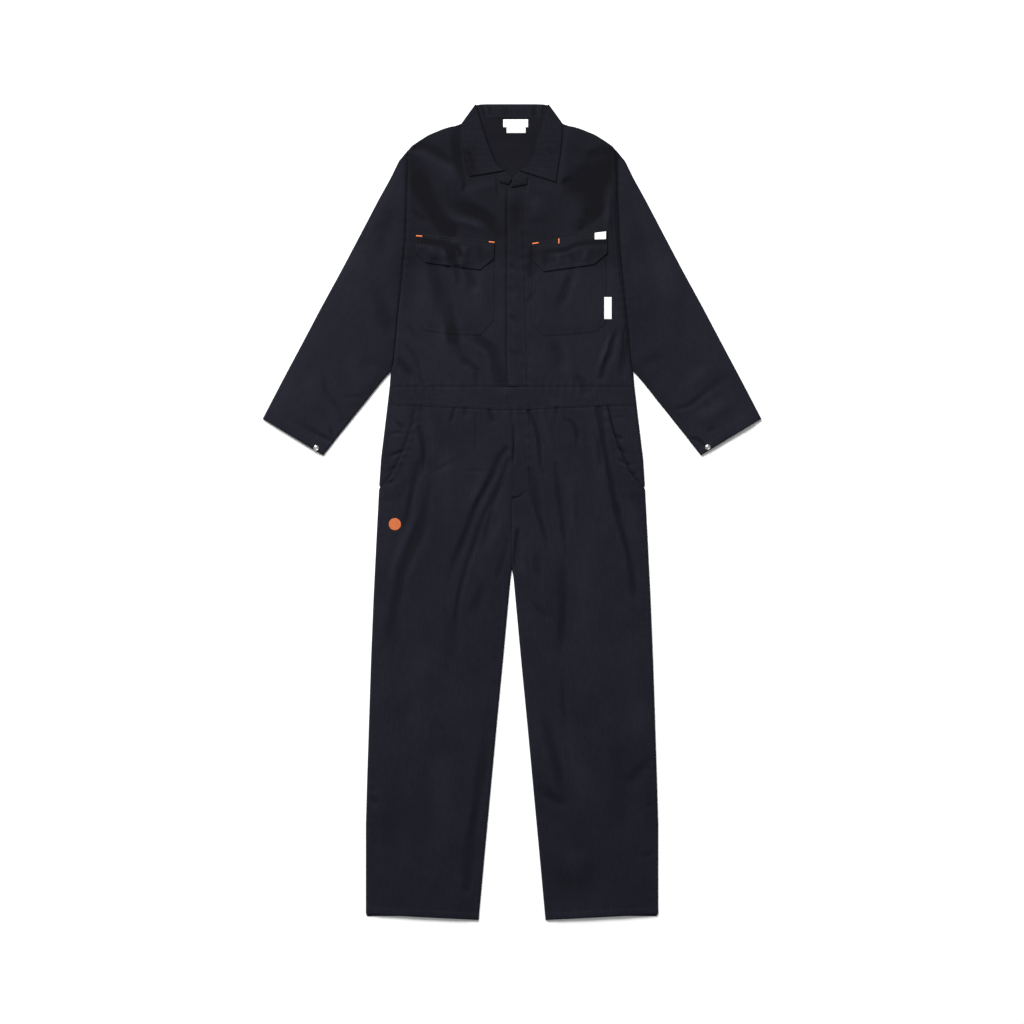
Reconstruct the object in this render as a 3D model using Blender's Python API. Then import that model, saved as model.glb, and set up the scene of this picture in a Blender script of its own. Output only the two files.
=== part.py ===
"""Boiler suit laid flat, face up: a Blender script that builds every cut piece as its own closed wall.

The frame has +X to the wearer's left, +Y from the hems to the collar and +Z up from the surface that the
suit lies on. All sizes below are in millimetres, and MM turns them into Blender's metres at the end.
The back layer lies flat on the surface. The front layer lies on it, lifted by its largest folds, and
whatever is sewn on the front is cut from the front's own points and moved up by one cloth layer.
"""

from collections import namedtuple
from math import cos, hypot, pi, radians, sin

import bmesh
import bpy
from mathutils import Vector

MM = 0.001
CLOTH = 1.2
GAP = 0.3
LAYER = CLOTH + GAP
SEAM = 0.4
CENTRE = 0.6

WAIST_TOP = 257.0
WAIST_FOOT = 208.4
WAIST_CLIMB = 0.045
CROTCH = -116.0

NAVY = (0.017, 0.018, 0.030, 1.0)
LABEL_WHITE = (0.80, 0.80, 0.79, 1.0)
SNAP_METAL = (0.62, 0.62, 0.60, 1.0)

# Outer line of the body and the leg, from the underarm to the hem.
SideRow = namedtuple("SideRow", "y x")
SIDE = [
    SideRow(287, 248.5),
    SideRow(256, 251),
    SideRow(207, 256.5),
    SideRow(158, 262.5),
    SideRow(109, 268.5),
    SideRow(48, 272.5),
    SideRow(-58, 278),
    SideRow(-180, 284),
    SideRow(-303, 289),
    SideRow(-426, 293),
    SideRow(-549, 297),
    SideRow(-640, 299.5),
    SideRow(-824, 299.5),
]

# Seam between body and sleeve, from the underarm up to the shoulder.
ARMHOLE = [
    SideRow(287, 248.5),
    SideRow(306, 243),
    SideRow(391, 235),
    SideRow(485, 225),
    SideRow(560, 218.5),
    SideRow(636, 215.5),
    SideRow(700, 214),
    SideRow(742, 212.5),
]

# Shoulder line, from the armhole up to the side of the neck.
SHOULDER = [
    SideRow(742, 212.5),
    SideRow(750, 206),
    SideRow(761, 190),
    SideRow(773, 171),
    SideRow(783, 147),
    SideRow(789, 129),
    SideRow(793, 101.6),
    SideRow(802, 93.4),
    SideRow(809, 87.2),
]

# Inner line of the leg, from the crotch to the hem.
INSEAM = [
    SideRow(-116, 0.3),
    SideRow(-140, 3.5),
    SideRow(-180, 7.2),
    SideRow(-303, 18.5),
    SideRow(-426, 30.5),
    SideRow(-549, 42),
    SideRow(-672, 53.5),
    SideRow(-836, 68.5),
]

# Mouth of the slanted hip pocket, from the waistband to the side seam.
POCKET_MOUTH = [
    SideRow(217, 196.5),
    SideRow(180, 204),
    SideRow(151, 213),
    SideRow(125, 223),
    SideRow(102, 234),
    SideRow(84, 242),
    SideRow(66, 254),
    SideRow(48, 271),
]

# Largest folds of the front layer: a soft ridge (height over 0) or trough (under 0) along a line.
Fold = namedtuple("Fold", "x0 y0 x1 y1 half_width height")
FOLDS = [
    Fold(-200, 690, -119, 570, 34, -1.0),
    Fold(-150, 690, -70, 590, 36, 0.9),
    Fold(-62, 620, -25, 570, 26, -0.8),
    Fold(-126, 540, -112, 430, 24, -1.1),
    Fold(-146, 540, -130, 400, 22, 1.2),
    Fold(-118, 420, -98, 300, 26, -1.1),
    Fold(-142, 360, -122, 290, 24, 0.8),
    Fold(-42, 350, -26, 285, 20, -1.0),
    Fold(130, 500, 92, 405, 26, -0.8),
    Fold(150, 640, 120, 540, 40, 0.8),
    Fold(196, 520, 206, 400, 22, 0.8),
    Fold(235, 350, 222, 285, 20, -0.9),
    Fold(-186, 170, -182, 80, 20, -1.0),
    Fold(-162, 190, -158, 90, 24, 1.2),
    Fold(-192, 110, -214, 20, 22, -0.8),
    Fold(-160, 80, -160, -10, 22, -0.8),
    Fold(-128, 150, -122, -40, 28, 0.9),
    Fold(-14, 125, -90, -35, 22, -1.0),
    Fold(-8, 60, -60, -110, 22, 0.9),
    Fold(176, 208, 202, 70, 20, -1.1),
    Fold(202, 80, 252, -200, 24, -1.1),
    Fold(160, 190, 196, 0, 24, 1.3),
    Fold(92, 95, 114, -95, 26, -0.9),
    Fold(40, 195, 64, 80, 20, -0.9),
    Fold(62, 190, 92, 60, 20, 1.0),
    Fold(40, 60, 80, -110, 22, -0.9),
    Fold(104, -110, 104, -300, 36, 0.9),
    Fold(140, -60, 170, -320, 44, 0.8),
    Fold(-238, -190, -238, -300, 34, -0.8),
    Fold(-125, -190, -125, -345, 40, 0.8),
    Fold(-190, -180, -196, -520, 46, 0.7),
    Fold(-72, -430, -101, -770, 36, -1.0),
    Fold(-130, -480, -150, -780, 50, 0.8),
    Fold(46, -405, 104, -565, 30, -0.9),
    Fold(66, -570, 116, -604, 26, -0.8),
    Fold(110, -420, 170, -620, 46, 0.9),
    Fold(272, -510, 236, -556, 24, -0.8),
    Fold(-275, 460, -246, 350, 34, -0.9),
    Fold(-300, 560, -330, 380, 50, 0.9),
    Fold(-390, 290, -348, 186, 26, -1.1),
    Fold(-440, 178, -380, 142, 22, -1.1),
    Fold(-330, 330, -300, 230, 34, 0.8),
    Fold(330, 205, 448, 278, 26, -1.2),
    Fold(300, 560, 330, 380, 50, 0.9),
    Fold(366, 178, 470, 236, 30, 0.9),
    Fold(372, 150, 400, 146, 18, -1.1),
    Fold(412, 165, 444, 182, 18, -0.9),
]
PUFF = 1.3
FOLD_EDGE = 26.0

# Lift that makes room for the collar's fall behind the neck. It fades out towards the shoulders.
Ramp = namedtuple("Ramp", "y_low y_high x_full x_none")
BACK_RAMP = Ramp(762, 780, 110, 150)
FRONT_RAMP = Ramp(732, 774, 122, 172)

# Collar, one row for each section of its right half, from the notch to the middle of the back.
# Each section is a hairpin: the leaf, the roll line where it turns over, and the stand down to the seam.
CollarRow = namedtuple("CollarRow", "roll_x roll_y leaf_x leaf_y seam_x seam_y turn lift")
COLLAR = [
    CollarRow(15, 700, 89.5, 682, 17, 699.5, 0, 0.3),
    CollarRow(22.5, 706, 93, 697, 28, 703, 0, 0.15),
    CollarRow(31, 715, 96.5, 716, 40, 709.5, 0, 0.0),
    CollarRow(38.5, 730, 99.5, 736, 53.5, 723, 0, 0.15),
    CollarRow(45.5, 747, 101.5, 753, 66, 741, 0, 0.8),
    CollarRow(52, 765, 102.8, 769, 76.5, 761, 0, 1.45),
    CollarRow(58.5, 790, 103.5, 783, 83, 784, 0, 1.6),
    CollarRow(63, 815, 103.4, 790, 85, 801, 0, 1.6),
    CollarRow(66, 833.6, 102.4, 793, 85.8, 811, 0, 1.6),
    CollarRow(66, 833.6, 102.4, 793, 85.8, 811, 45, 1.55),
    CollarRow(66, 833.6, 102.4, 793, 85.8, 811, 90, 1.5),
    CollarRow(66, 833.6, 102.4, 793, 85.8, 811, 135, 1.5),
    CollarRow(66, 833.6, 102.4, 793, 85.8, 811, 180, 1.5),
    CollarRow(60, 835.3, 88, 788, 76, 808.6, 180, 1.5),
    CollarRow(48, 835.7, 62, 786, 55, 807.6, 180, 1.5),
    CollarRow(24, 835.7, 30, 785, 27, 807.1, 180, 1.5),
    CollarRow(0, 835.7, 0, 784.6, 0, 807, 180, 1.5),
]
COLLAR_TIP_LEFT = (91.5, 676)
COLLAR_TIP_RIGHT = (88, 688)

# Sleeve, one row for each ring: its underarm end, its outer end and how far it follows the armhole's curve.
SleeveRow = namedtuple("SleeveRow", "in_x in_y out_x out_y bow")
SLEEVE = [
    SleeveRow(249.1, 287, 213.1, 742, 1.0),
    SleeveRow(256, 280, 232, 719, 0.85),
    SleeveRow(268, 266, 249, 684, 0.7),
    SleeveRow(284, 246, 275, 637, 0.5),
    SleeveRow(302, 223, 311, 568, 0.3),
    SleeveRow(320, 201, 350, 494, 0.15),
    SleeveRow(338, 178, 391, 419, 0.0),
    SleeveRow(355, 157, 430, 345, 0.0),
    SleeveRow(371, 136, 470, 270, 0.0),
    SleeveRow(387, 116, 511, 191, 0.0),
]
RINGS_BETWEEN = 2
SLEEVE_STEPS = 5

# What is sewn on the front: convex outlines, counter-clockwise.
PLACKET_UPPER = [(-9, 257.6), (25, 257.6), (20, 662), (-3, 664), (-9, 666)]
PLACKET_LOWER = [(-2, 31), (14, 33), (29, 44), (34, 60), (34, 208.6), (-9, 208.6)]
LAPEL_RIGHT = [(-26, 676.5), (-7, 671), (0.2, 682), (-13.5, 697.5), (-26.5, 694)]
LAPEL_LEFT = [(-3, 665), (32, 672), (31, 688), (15, 697.5), (1.0, 682)]
POCKET_RIGHT = [(-178, 371), (-130, 364), (-65, 361), (-36, 392), (-36, 545), (-196, 560), (-196, 391)]
POCKET_LEFT = [(65, 360), (120, 363), (173, 369), (194, 388), (194, 563), (42, 541), (42, 383)]
FLAP_RIGHT = [(-178, 511), (-65, 496), (-37, 519), (-35, 556), (-197, 571), (-197, 532)]
FLAP_LEFT = [(65, 492.5), (168, 507), (195, 530), (195, 576.5), (41, 552), (43, 514)]
NECK_LABEL = [(-18, 788.4), (33, 788.4), (33, 804.4), (-18, 804.4)]
SIZE_LABEL = [(-11, 776.6), (28, 776.6), (28, 788.1), (-11, 788.1)]
FLAP_LABEL = [(169, 557.5), (193, 558), (193, 575), (169, 572.5)]
SIDE_LABEL = [(189, 395), (204, 395), (204, 440), (189, 440)]
LABEL_WALL = 0.6

# Snap of each cuff, a domed metal cap: a row for each edge of its turned profile.
SnapRow = namedtuple("SnapRow", "radius height")
SNAP = [
    SnapRow(5.6, 0.0),
    SnapRow(6.0, 0.5),
    SnapRow(5.6, 1.1),
    SnapRow(4.4, 1.2),
    SnapRow(3.9, 1.7),
    SnapRow(2.2, 2.3),
]
SNAP_SIDES = 16
SNAP_PLACES = {"cuff_snap_right": (-401, 131), "cuff_snap_left": (401, 133)}


def clear_scene():
    for obj in list(bpy.data.objects):
        bpy.data.objects.remove(obj, do_unlink=True)


def new_material(name, colour, roughness, metallic=0.0):
    material = bpy.data.materials.new(name)
    material.use_nodes = True
    shader = material.node_tree.nodes["Principled BSDF"]
    shader.inputs["Base Color"].default_value = colour
    shader.inputs["Roughness"].default_value = roughness
    shader.inputs["Metallic"].default_value = metallic
    material.diffuse_color = colour
    return material


def finish_object(name, mesh_source, material):
    """Makes the named object from a bmesh in millimetres."""
    bmesh.ops.recalc_face_normals(mesh_source, faces=mesh_source.faces)
    bmesh.ops.triangulate(mesh_source, faces=mesh_source.faces)
    bmesh.ops.scale(mesh_source, vec=(MM, MM, MM), verts=mesh_source.verts)
    mesh = bpy.data.meshes.new(name)
    mesh_source.to_mesh(mesh)
    mesh_source.free()
    mesh.materials.append(material)
    obj = bpy.data.objects.new(name, mesh)
    bpy.context.scene.collection.objects.link(obj)
    return obj


def ease(value):
    """Smooth step from 0 to 1."""
    value = min(1.0, max(0.0, value))
    return value * value * (3 - 2 * value)


def x_at(line, y):
    """Where an edge line crosses the height y."""
    rows = sorted(line)
    for low, high in zip(rows, rows[1:]):
        if low.y <= y <= high.y:
            share = (y - low.y) / (high.y - low.y)
            return low.x + share * (high.x - low.x)
    return rows[0].x if y < rows[0].y else rows[-1].x


def ramp_lift(ramp, x, y):
    """Lift over the collar's fall, which lies under the back of the neck."""
    up = min(1.0, max(0.0, (y - ramp.y_low) / (ramp.y_high - ramp.y_low)))
    across = min(1.0, max(0.0, (ramp.x_none - abs(x)) / (ramp.x_none - ramp.x_full)))
    return LAYER * up * across


def fold_height(fold, x, y):
    run = Vector((fold.x1 - fold.x0, fold.y1 - fold.y0))
    reach = Vector((x - fold.x0, y - fold.y0))
    along = min(1.0, max(0.0, reach.dot(run) / run.length_squared))
    near = (reach - run * along).length / fold.half_width
    if near >= 1:
        return 0.0
    ends = ease(min(along, 1 - along) / 0.3 + 0.25)
    return fold.height * ends * (1 - near * near) ** 2


def rise(x, y):
    """How far the puff and the folds lift the front layer above the back one."""
    body = PUFF * ease((700 - y) / 100)
    return max(0.0, body + sum(fold_height(fold, x, y) for fold in FOLDS) * ease((690 - y) / 40))


def grid_sheet(rows, steps, height, soft_left=True, soft_right=True):
    """Open sheet between two edges: a row of points for each pair of ends, at its height.

    A soft edge is where the front is sewn to the back or turns round to it, so the folds die out there.
    """
    sheet = bmesh.new()
    lines = []
    for start, end in rows:
        span = hypot(end[0] - start[0], end[1] - start[1])
        line = []
        for step in range(steps + 1):
            share = step / steps
            x = start[0] + share * (end[0] - start[0])
            y = start[1] + share * (end[1] - start[1])
            from_left = share * span / FOLD_EDGE if soft_left else 1.0
            from_right = (1 - share) * span / FOLD_EDGE if soft_right else 1.0
            soft = ease(min(from_left, from_right, 1.0))
            line.append(sheet.verts.new((x, y, height(x, y, soft))))
        lines.append(line)
    for below, above in zip(lines, lines[1:]):
        for step in range(steps):
            sheet.faces.new((below[step], below[step + 1], above[step + 1], above[step]))
    bmesh.ops.triangulate(sheet, faces=sheet.faces)
    return sheet


def front_height(x, y, soft):
    return LAYER + rise(x, y) * soft + ramp_lift(FRONT_RAMP, x, y)


def back_height(x, y, soft):
    return ramp_lift(BACK_RAMP, x, y)


def keep_side(sheet, point, normal):
    """Cuts the sheet along an upright plane and keeps the side that the normal points away from."""
    bmesh.ops.bisect_plane(
        sheet,
        geom=sheet.verts[:] + sheet.edges[:] + sheet.faces[:],
        dist=0.0001,
        plane_co=(point[0], point[1], 0),
        plane_no=(normal[0], normal[1], 0),
        clear_outer=True,
    )


def cut_out(sheet, outline):
    """A copy of the part of a sheet that lies inside a convex outline."""
    piece = sheet.copy()
    for start, end in zip(outline, outline[1:] + outline[:1]):
        keep_side(piece, start, (end[1] - start[1], start[0] - end[0]))
    bmesh.ops.triangulate(piece, faces=piece.faces)
    return piece


def thicken(sheet, lift, wall):
    """Closes an open sheet into a wall of cloth that stands on it, lifted by a number of layers."""
    bmesh.ops.translate(sheet, vec=(0, 0, lift), verts=sheet.verts)
    grown = bmesh.ops.extrude_face_region(sheet, geom=sheet.faces[:], use_keep_orig=True)
    upper = [item for item in grown["geom"] if isinstance(item, bmesh.types.BMVert)]
    bmesh.ops.translate(sheet, vec=(0, 0, wall), verts=upper)
    return sheet


def sewn_on(name, sheet, outline, layers, material, wall=CLOTH):
    piece = cut_out(sheet, outline)
    return finish_object(name, thicken(piece, layers * LAYER, wall), material)


def loft(rings):
    """Closed solid through rings of equal length: side faces between them and a fan over each end."""
    solid = bmesh.new()
    loops = [[solid.verts.new(point) for point in ring] for ring in rings]
    for first, second in zip(loops, loops[1:]):
        for start in range(len(first)):
            after = (start + 1) % len(first)
            solid.faces.new((first[start], first[after], second[after], second[start]))
    solid.faces.new(loops[0])
    solid.faces.new(loops[-1])
    return solid


# ---- Body: back panel and the two fronts ----


def bodice_rows():
    """Heights of the rows of the upper body's front, from the waistband to the neck."""
    heights = [WAIST_TOP + SEAM, 287, 314, 345, 376, 407, 438, 469, 500, 530, 560, 590, 620, 651]
    return heights + [682, 699.5, 703, 709.5, 723, 742, 761, 773, 784, 793, 801, 808]


def outer_x(y):
    if y >= 742:
        return x_at(SHOULDER, y)
    return x_at(ARMHOLE if y >= 287 else SIDE, y)


def neck_x(y):
    """Edge of a front at the middle: the centre line, then the neckline that the collar is sewn to."""
    seam = [SideRow(row.seam_y, row.seam_x) for row in COLLAR[:9]]
    return CENTRE if y <= 682 else x_at([SideRow(683, CENTRE)] + seam, y + SEAM) + 2 * SEAM


def front_sheets():
    right = [((-outer_x(y), y), (-neck_x(y) if y > 682 else CENTRE, y)) for y in bodice_rows()]
    left = [((neck_x(y), y), (outer_x(y), y)) for y in bodice_rows()]
    return (
        grid_sheet(right, 9, front_height, soft_right=False),
        grid_sheet(left, 9, front_height, soft_left=False),
    )


def joined(first, second):
    """One sheet from two that share an edge."""
    both = first.copy()
    spare = bpy.data.meshes.new("spare")
    second.to_mesh(spare)
    both.from_mesh(spare)
    bpy.data.meshes.remove(spare)
    bmesh.ops.remove_doubles(both, verts=both.verts, dist=0.001)
    return both


def build_body(navy):
    right, left = front_sheets()
    front = joined(right, left)
    keep_side(right, (CENTRE - GAP / 2, 0), (1, 0))
    keep_side(left, (CENTRE + GAP / 2, 0), (-1, 0))
    finish_object("front_bodice_right", thicken(right, 0, CLOTH), navy)
    finish_object("front_bodice_left", thicken(left, 0, CLOTH), navy)
    heights = [WAIST_TOP + SEAM, 287, 306, 391, 485, 560, 636, 700, 742, 761, 771, 780, 787, 793]
    heights += [800, 806]
    back = grid_sheet([((-outer_x(y), y), (outer_x(y), y)) for y in heights], 8, back_height)
    finish_object("back_bodice", thicken(back.copy(), 0, CLOTH), navy)
    return front, back


# ---- Waistband and trousers ----


def waist_foot(x):
    """The waistband's lower seam, which climbs a little towards the side seams."""
    return WAIST_FOOT + WAIST_CLIMB * abs(x)


def waistband_sheet(height):
    xs = [-254.5, -210, -165, -110, -55, -9, 0, 50, 105, 160, 210, 254.5]
    sheet = bmesh.new()
    lines = []
    for share in (0, 0.5, 1):
        line = []
        for x in xs:
            foot = waist_foot(x) + SEAM
            y = foot + share * (WAIST_TOP - foot)
            edge = x_at(SIDE, y)
            place = max(-edge, min(edge, x))
            soft = ease((edge - abs(place)) / FOLD_EDGE)
            line.append(sheet.verts.new((place, y, height(place, y, soft))))
        lines.append(line)
    for below, above in zip(lines, lines[1:]):
        for step in range(len(xs) - 1):
            sheet.faces.new((below[step], below[step + 1], above[step + 1], above[step]))
    bmesh.ops.triangulate(sheet, faces=sheet.faces)
    return sheet


def build_waistband(navy):
    middle = -9
    for name, side in (("waistband_front_right", 1), ("waistband_front_left", -1)):
        half = waistband_sheet(front_height)
        keep_side(half, (middle - side * GAP / 2, 0), (side, 0))
        finish_object(name, thicken(half, 0, CLOTH), navy)
    finish_object("waistband_back", thicken(waistband_sheet(back_height), 0, CLOTH), navy)


def leg_rows(outer_line, leg_steps):
    """Inner and outer ends of each row of a left trouser panel, from the waistband to the hem."""
    corner = x_at(outer_line, waist_foot(220))
    rows = [((0, WAIST_FOOT - SEAM), (corner, waist_foot(corner) - SEAM))]
    for y in (180, 151, 125, 102, 84, 66, 48):
        rows.append(((0, y), (x_at(outer_line, y), y)))
    for share in [step / leg_steps for step in range(1, leg_steps + 1)]:
        outer_y = 48 + share * (-824 - 48)
        inner_y = 48 + share * (-836 - 48)
        inner = x_at(INSEAM, inner_y) if inner_y < CROTCH else 0
        rows.append(((inner, inner_y), (x_at(SIDE, outer_y), outer_y)))
    return rows


def pocket_lift(x, y):
    """Room under the front, beside the pocket mouth, for the facing behind it."""
    if y < 20:
        return 0.0
    inside = x_at(POCKET_MOUTH, max(y, 48)) - abs(x)
    return (LAYER + 2 * GAP) * ease((58 - inside) / 30) * ease((y - 20) / 26)


def trouser_height(x, y, soft):
    return front_height(x, y, soft) + pocket_lift(x, y)


def leg_soft(height):
    """The centre seam is an inner seam, so a leg's folds die out at its inner edge only below the crotch."""

    def with_inner_edge(x, y, soft):
        from_inner = (abs(x) - x_at(INSEAM, y)) / FOLD_EDGE if y < CROTCH else 1.0
        return height(x, y, min(soft, ease(from_inner)))

    return with_inner_edge


def trouser_sheet(side, outer_line, height, steps, leg_steps):
    """A trouser panel of the left leg, or of the right one, which is its mirror image with its own folds."""
    rows = leg_rows(outer_line, leg_steps)
    if side < 0:
        rows = [((-outer[0], outer[1]), (-inner[0], inner[1])) for inner, outer in rows]
    soft_left = side < 0
    return grid_sheet(rows, steps, height, soft_left=soft_left, soft_right=not soft_left)


def build_trousers(navy):
    fronts = []
    for word, side in (("right", -1), ("left", 1)):
        front = trouser_sheet(side, POCKET_MOUTH, leg_soft(trouser_height), 7, 17)
        fronts.append(front.copy())
        keep_side(front, (side * GAP / 2, 0), (-side, 0))
        finish_object("trouser_front_" + word, thicken(front, 0, CLOTH), navy)
        back = trouser_sheet(side, SIDE, back_height, 1, 10)
        keep_side(back, (side * GAP / 2, 0), (-side, 0))
        finish_object("trouser_back_" + word, thicken(back, 0, CLOTH), navy)
        facing = facing_sheet(side)
        finish_object("hip_pocket_facing_" + word, thicken(facing, 0, CLOTH), navy)
    return joined(*fronts)


def facing_sheet(side):
    """The facing fills the corner outside the pocket mouth and runs on a little behind the front."""
    rows = []
    for y in (212, 180, 151, 125, 102, 84, 66, 54):
        inner = x_at(POCKET_MOUTH, y) - 22 * ease((y - 40) / 40)
        rows.append(((inner, y), (x_at(SIDE, y), y)))
    rows[0] = ((rows[0][0][0], waist_foot(175) - SEAM), (rows[0][1][0], waist_foot(253) - SEAM))
    if side < 0:
        rows = [((-outer[0], outer[1]), (-inner[0], inner[1])) for inner, outer in rows]
    return grid_sheet(rows, 3, lambda x, y, soft: LAYER)


# ---- Sleeves: flattened tubes ----


def sleeve_rings():
    rings = []
    for first, second in zip(SLEEVE, SLEEVE[1:]):
        for step in range(RINGS_BETWEEN):
            share = step / RINGS_BETWEEN
            rings.append(SleeveRow(*(a + share * (b - a) for a, b in zip(first, second))))
    return rings + [SLEEVE[-1]]


def ring_point(row, share):
    """A point between a ring's two ends, bowed the way that the armhole is."""
    x = row.in_x + share * (row.out_x - row.in_x)
    y = row.in_y + share * (row.out_y - row.in_y)
    start = SLEEVE[0]
    seam_y = start.in_y + share * (start.out_y - start.in_y)
    straight = start.in_x + share * (start.out_x - start.in_x)
    return x + row.bow * (x_at(ARMHOLE, seam_y) + 2 * GAP - straight), y


def sleeve_loops(row, side):
    """Outer and inner loop of one ring: along the back layer, then home along the front one."""
    span = hypot(row.out_x - row.in_x, row.out_y - row.in_y)
    turn = LAYER - GAP / 2
    outer = []
    inner = []
    for loop, inset, low, high in ((outer, 0.0, 0.0, CLOTH), (inner, CLOTH, CLOTH, 0.0)):
        ends = inset + turn - inset * 0.85
        shares = [inset / span] + [
            (ends + (span - 2 * ends) * step / SLEEVE_STEPS) / span for step in range(SLEEVE_STEPS + 1)
        ]
        shares.append(1 - inset / span)
        for share in shares[:-1]:
            x, y = ring_point(row, share)
            loop.append((side * x, y, turn if share == shares[0] else low))
        for share in reversed(shares[1:]):
            x, y = ring_point(row, share)
            edge = ease(min(share, 1 - share) * span / FOLD_EDGE)
            top = LAYER + high + rise(side * x, y) * edge
            loop.append((side * x, y, turn if share == shares[-1] else top))
    return outer, inner


def build_sleeve(name, side, navy):
    tube = bmesh.new()
    walls = [sleeve_loops(row, side) for row in sleeve_rings()]
    outer = [[tube.verts.new(point) for point in wall[0]] for wall in walls]
    inner = [[tube.verts.new(point) for point in wall[1]] for wall in walls]
    count = len(outer[0])
    for loops in (outer, inner):
        for first, second in zip(loops, loops[1:]):
            for start in range(count):
                after = (start + 1) % count
                tube.faces.new((first[start], first[after], second[after], second[start]))
    for outside, inside in ((outer[0], inner[0]), (outer[-1], inner[-1])):
        for start in range(count):
            after = (start + 1) % count
            tube.faces.new((outside[start], outside[after], inside[after], inside[start]))
    finish_object(name, tube, navy)


# ---- Collar ----


def collar_section(row, side):
    """Ring of one collar section, a hairpin with the leaf outside and the stand inside."""
    roll = Vector((side * row.roll_x, row.roll_y, 0))
    leaf = Vector((side * row.leaf_x, row.leaf_y, 0)) - roll
    seam = Vector((side * row.seam_x, row.seam_y, 0)) - roll
    along = leaf.normalized()
    outward = Vector((side * abs(along.y), abs(along.x), 0))
    angle = radians(row.turn)
    out = Vector((0, 0, cos(angle))) + outward * sin(angle)
    middle = LAYER - GAP / 2 + row.lift
    near, far = GAP / 2, GAP / 2 + CLOTH
    near_leaf, far_leaf = far + GAP, far + GAP + CLOTH
    nose = (near + far_leaf) / 2
    profile = [
        (leaf, far_leaf),
        (leaf * 0.5, far_leaf),
        (along * 1.4, far_leaf),
        (along * 0.2, far_leaf - 0.5),
        (along * -0.3, nose),
        (along * 0.2, near + 0.5),
        (seam * 0.2, near),
        (seam, near),
        (seam, far),
        (seam * 0.2 + along * 0.4, far),
        (leaf * 0.5, near_leaf),
        (leaf, near_leaf),
    ]
    return [roll + place + out * offset + Vector((0, 0, middle)) for place, offset in profile]


def build_collar(navy):
    tips = {-1: COLLAR_TIP_RIGHT, 1: COLLAR_TIP_LEFT}
    halves = {}
    for side, tip in tips.items():
        first = COLLAR[0]._replace(leaf_x=tip[0], leaf_y=tip[1])
        halves[side] = [collar_section(row, side) for row in [first] + COLLAR[1:]]
    finish_object("collar", loft(halves[-1] + halves[1][-2::-1]), navy)


# ---- Small hard pieces ----


def build_snap(name, place, seat, metal):
    """A turned cap: the profile's rings, closed below and above."""
    rings = []
    for row in SNAP:
        ring = []
        for side in range(SNAP_SIDES):
            angle = 2 * pi * side / SNAP_SIDES
            x = place[0] + row.radius * cos(angle)
            y = place[1] + row.radius * sin(angle)
            ring.append((x, y, seat + row.height))
        rings.append(ring)
    finish_object(name, loft(rings), metal)


def cuff_surface(place):
    """Top of the sleeve's front layer around a snap."""
    tops = []
    for side in range(SNAP_SIDES):
        angle = 2 * pi * side / SNAP_SIDES
        x = place[0] + SNAP[0].radius * cos(angle)
        y = place[1] + SNAP[0].radius * sin(angle)
        tops.append(rise(x, y))
    return LAYER + CLOTH + max(tops)


def main():
    clear_scene()
    navy = new_material("navy_twill", NAVY, 0.78)
    white = new_material("woven_label", LABEL_WHITE, 0.7)
    metal = new_material("snap_metal", SNAP_METAL, 0.3, 1.0)
    front, back = build_body(navy)
    build_waistband(navy)
    trousers = build_trousers(navy)
    build_collar(navy)
    for word, side in (("right", -1), ("left", 1)):
        build_sleeve("sleeve_" + word, side, navy)
    sewn_on("placket_upper", front, PLACKET_UPPER, 1, navy)
    sewn_on("placket_lower", trousers, PLACKET_LOWER, 1, navy)
    sewn_on("lapel_right", front, LAPEL_RIGHT, 1, navy)
    sewn_on("lapel_left", front, LAPEL_LEFT, 1, navy)
    sewn_on("chest_pocket_right", front, POCKET_RIGHT, 1, navy)
    sewn_on("chest_pocket_left", front, POCKET_LEFT, 1, navy)
    sewn_on("pocket_flap_right", front, FLAP_RIGHT, 2, navy)
    sewn_on("pocket_flap_left", front, FLAP_LEFT, 2, navy)
    sewn_on("flap_label", front, FLAP_LABEL, 3, white, LABEL_WALL)
    sewn_on("side_label", front, SIDE_LABEL, 2, white, LABEL_WALL)
    sewn_on("neck_label", back, NECK_LABEL, 1, white, LABEL_WALL)
    sewn_on("size_label", back, SIZE_LABEL, 1, white, LABEL_WALL)
    for name, place in SNAP_PLACES.items():
        build_snap(name, place, cuff_surface(place) + GAP, metal)


main()
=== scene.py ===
"""Boiler suit laid flat, face up: its cloth, folds, seams, stitching and trims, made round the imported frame.

All sizes are in millimetres in the frame's own axes, with +X to the wearer's left, +Y to the collar and
+Z up from the floor, and MM turns them into metres when a piece is finished.
"""

from collections import namedtuple
from math import copysign, cos, hypot, pi, radians, sin

import bmesh
import bpy
import numpy as np
from mathutils import Matrix, Vector
from mathutils.bvhtree import BVHTree


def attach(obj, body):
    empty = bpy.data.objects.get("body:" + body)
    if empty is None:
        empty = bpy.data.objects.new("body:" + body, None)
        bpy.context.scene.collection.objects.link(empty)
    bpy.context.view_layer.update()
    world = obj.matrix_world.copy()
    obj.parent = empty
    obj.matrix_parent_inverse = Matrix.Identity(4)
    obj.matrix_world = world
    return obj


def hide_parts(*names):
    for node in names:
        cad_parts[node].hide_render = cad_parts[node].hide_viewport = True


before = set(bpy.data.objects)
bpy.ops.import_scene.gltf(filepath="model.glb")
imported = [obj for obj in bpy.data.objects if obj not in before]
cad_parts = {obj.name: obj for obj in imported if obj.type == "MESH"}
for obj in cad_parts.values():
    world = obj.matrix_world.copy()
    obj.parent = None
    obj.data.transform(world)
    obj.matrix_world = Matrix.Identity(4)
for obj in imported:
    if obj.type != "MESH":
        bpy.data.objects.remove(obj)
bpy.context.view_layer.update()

# ---- Studio ----
# The suit lies on a plain white floor and is seen from straight above. A wide key light, low in the upper
# left, draws the folds and lays a short soft shadow, and an even white sky fills the rest.

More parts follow.
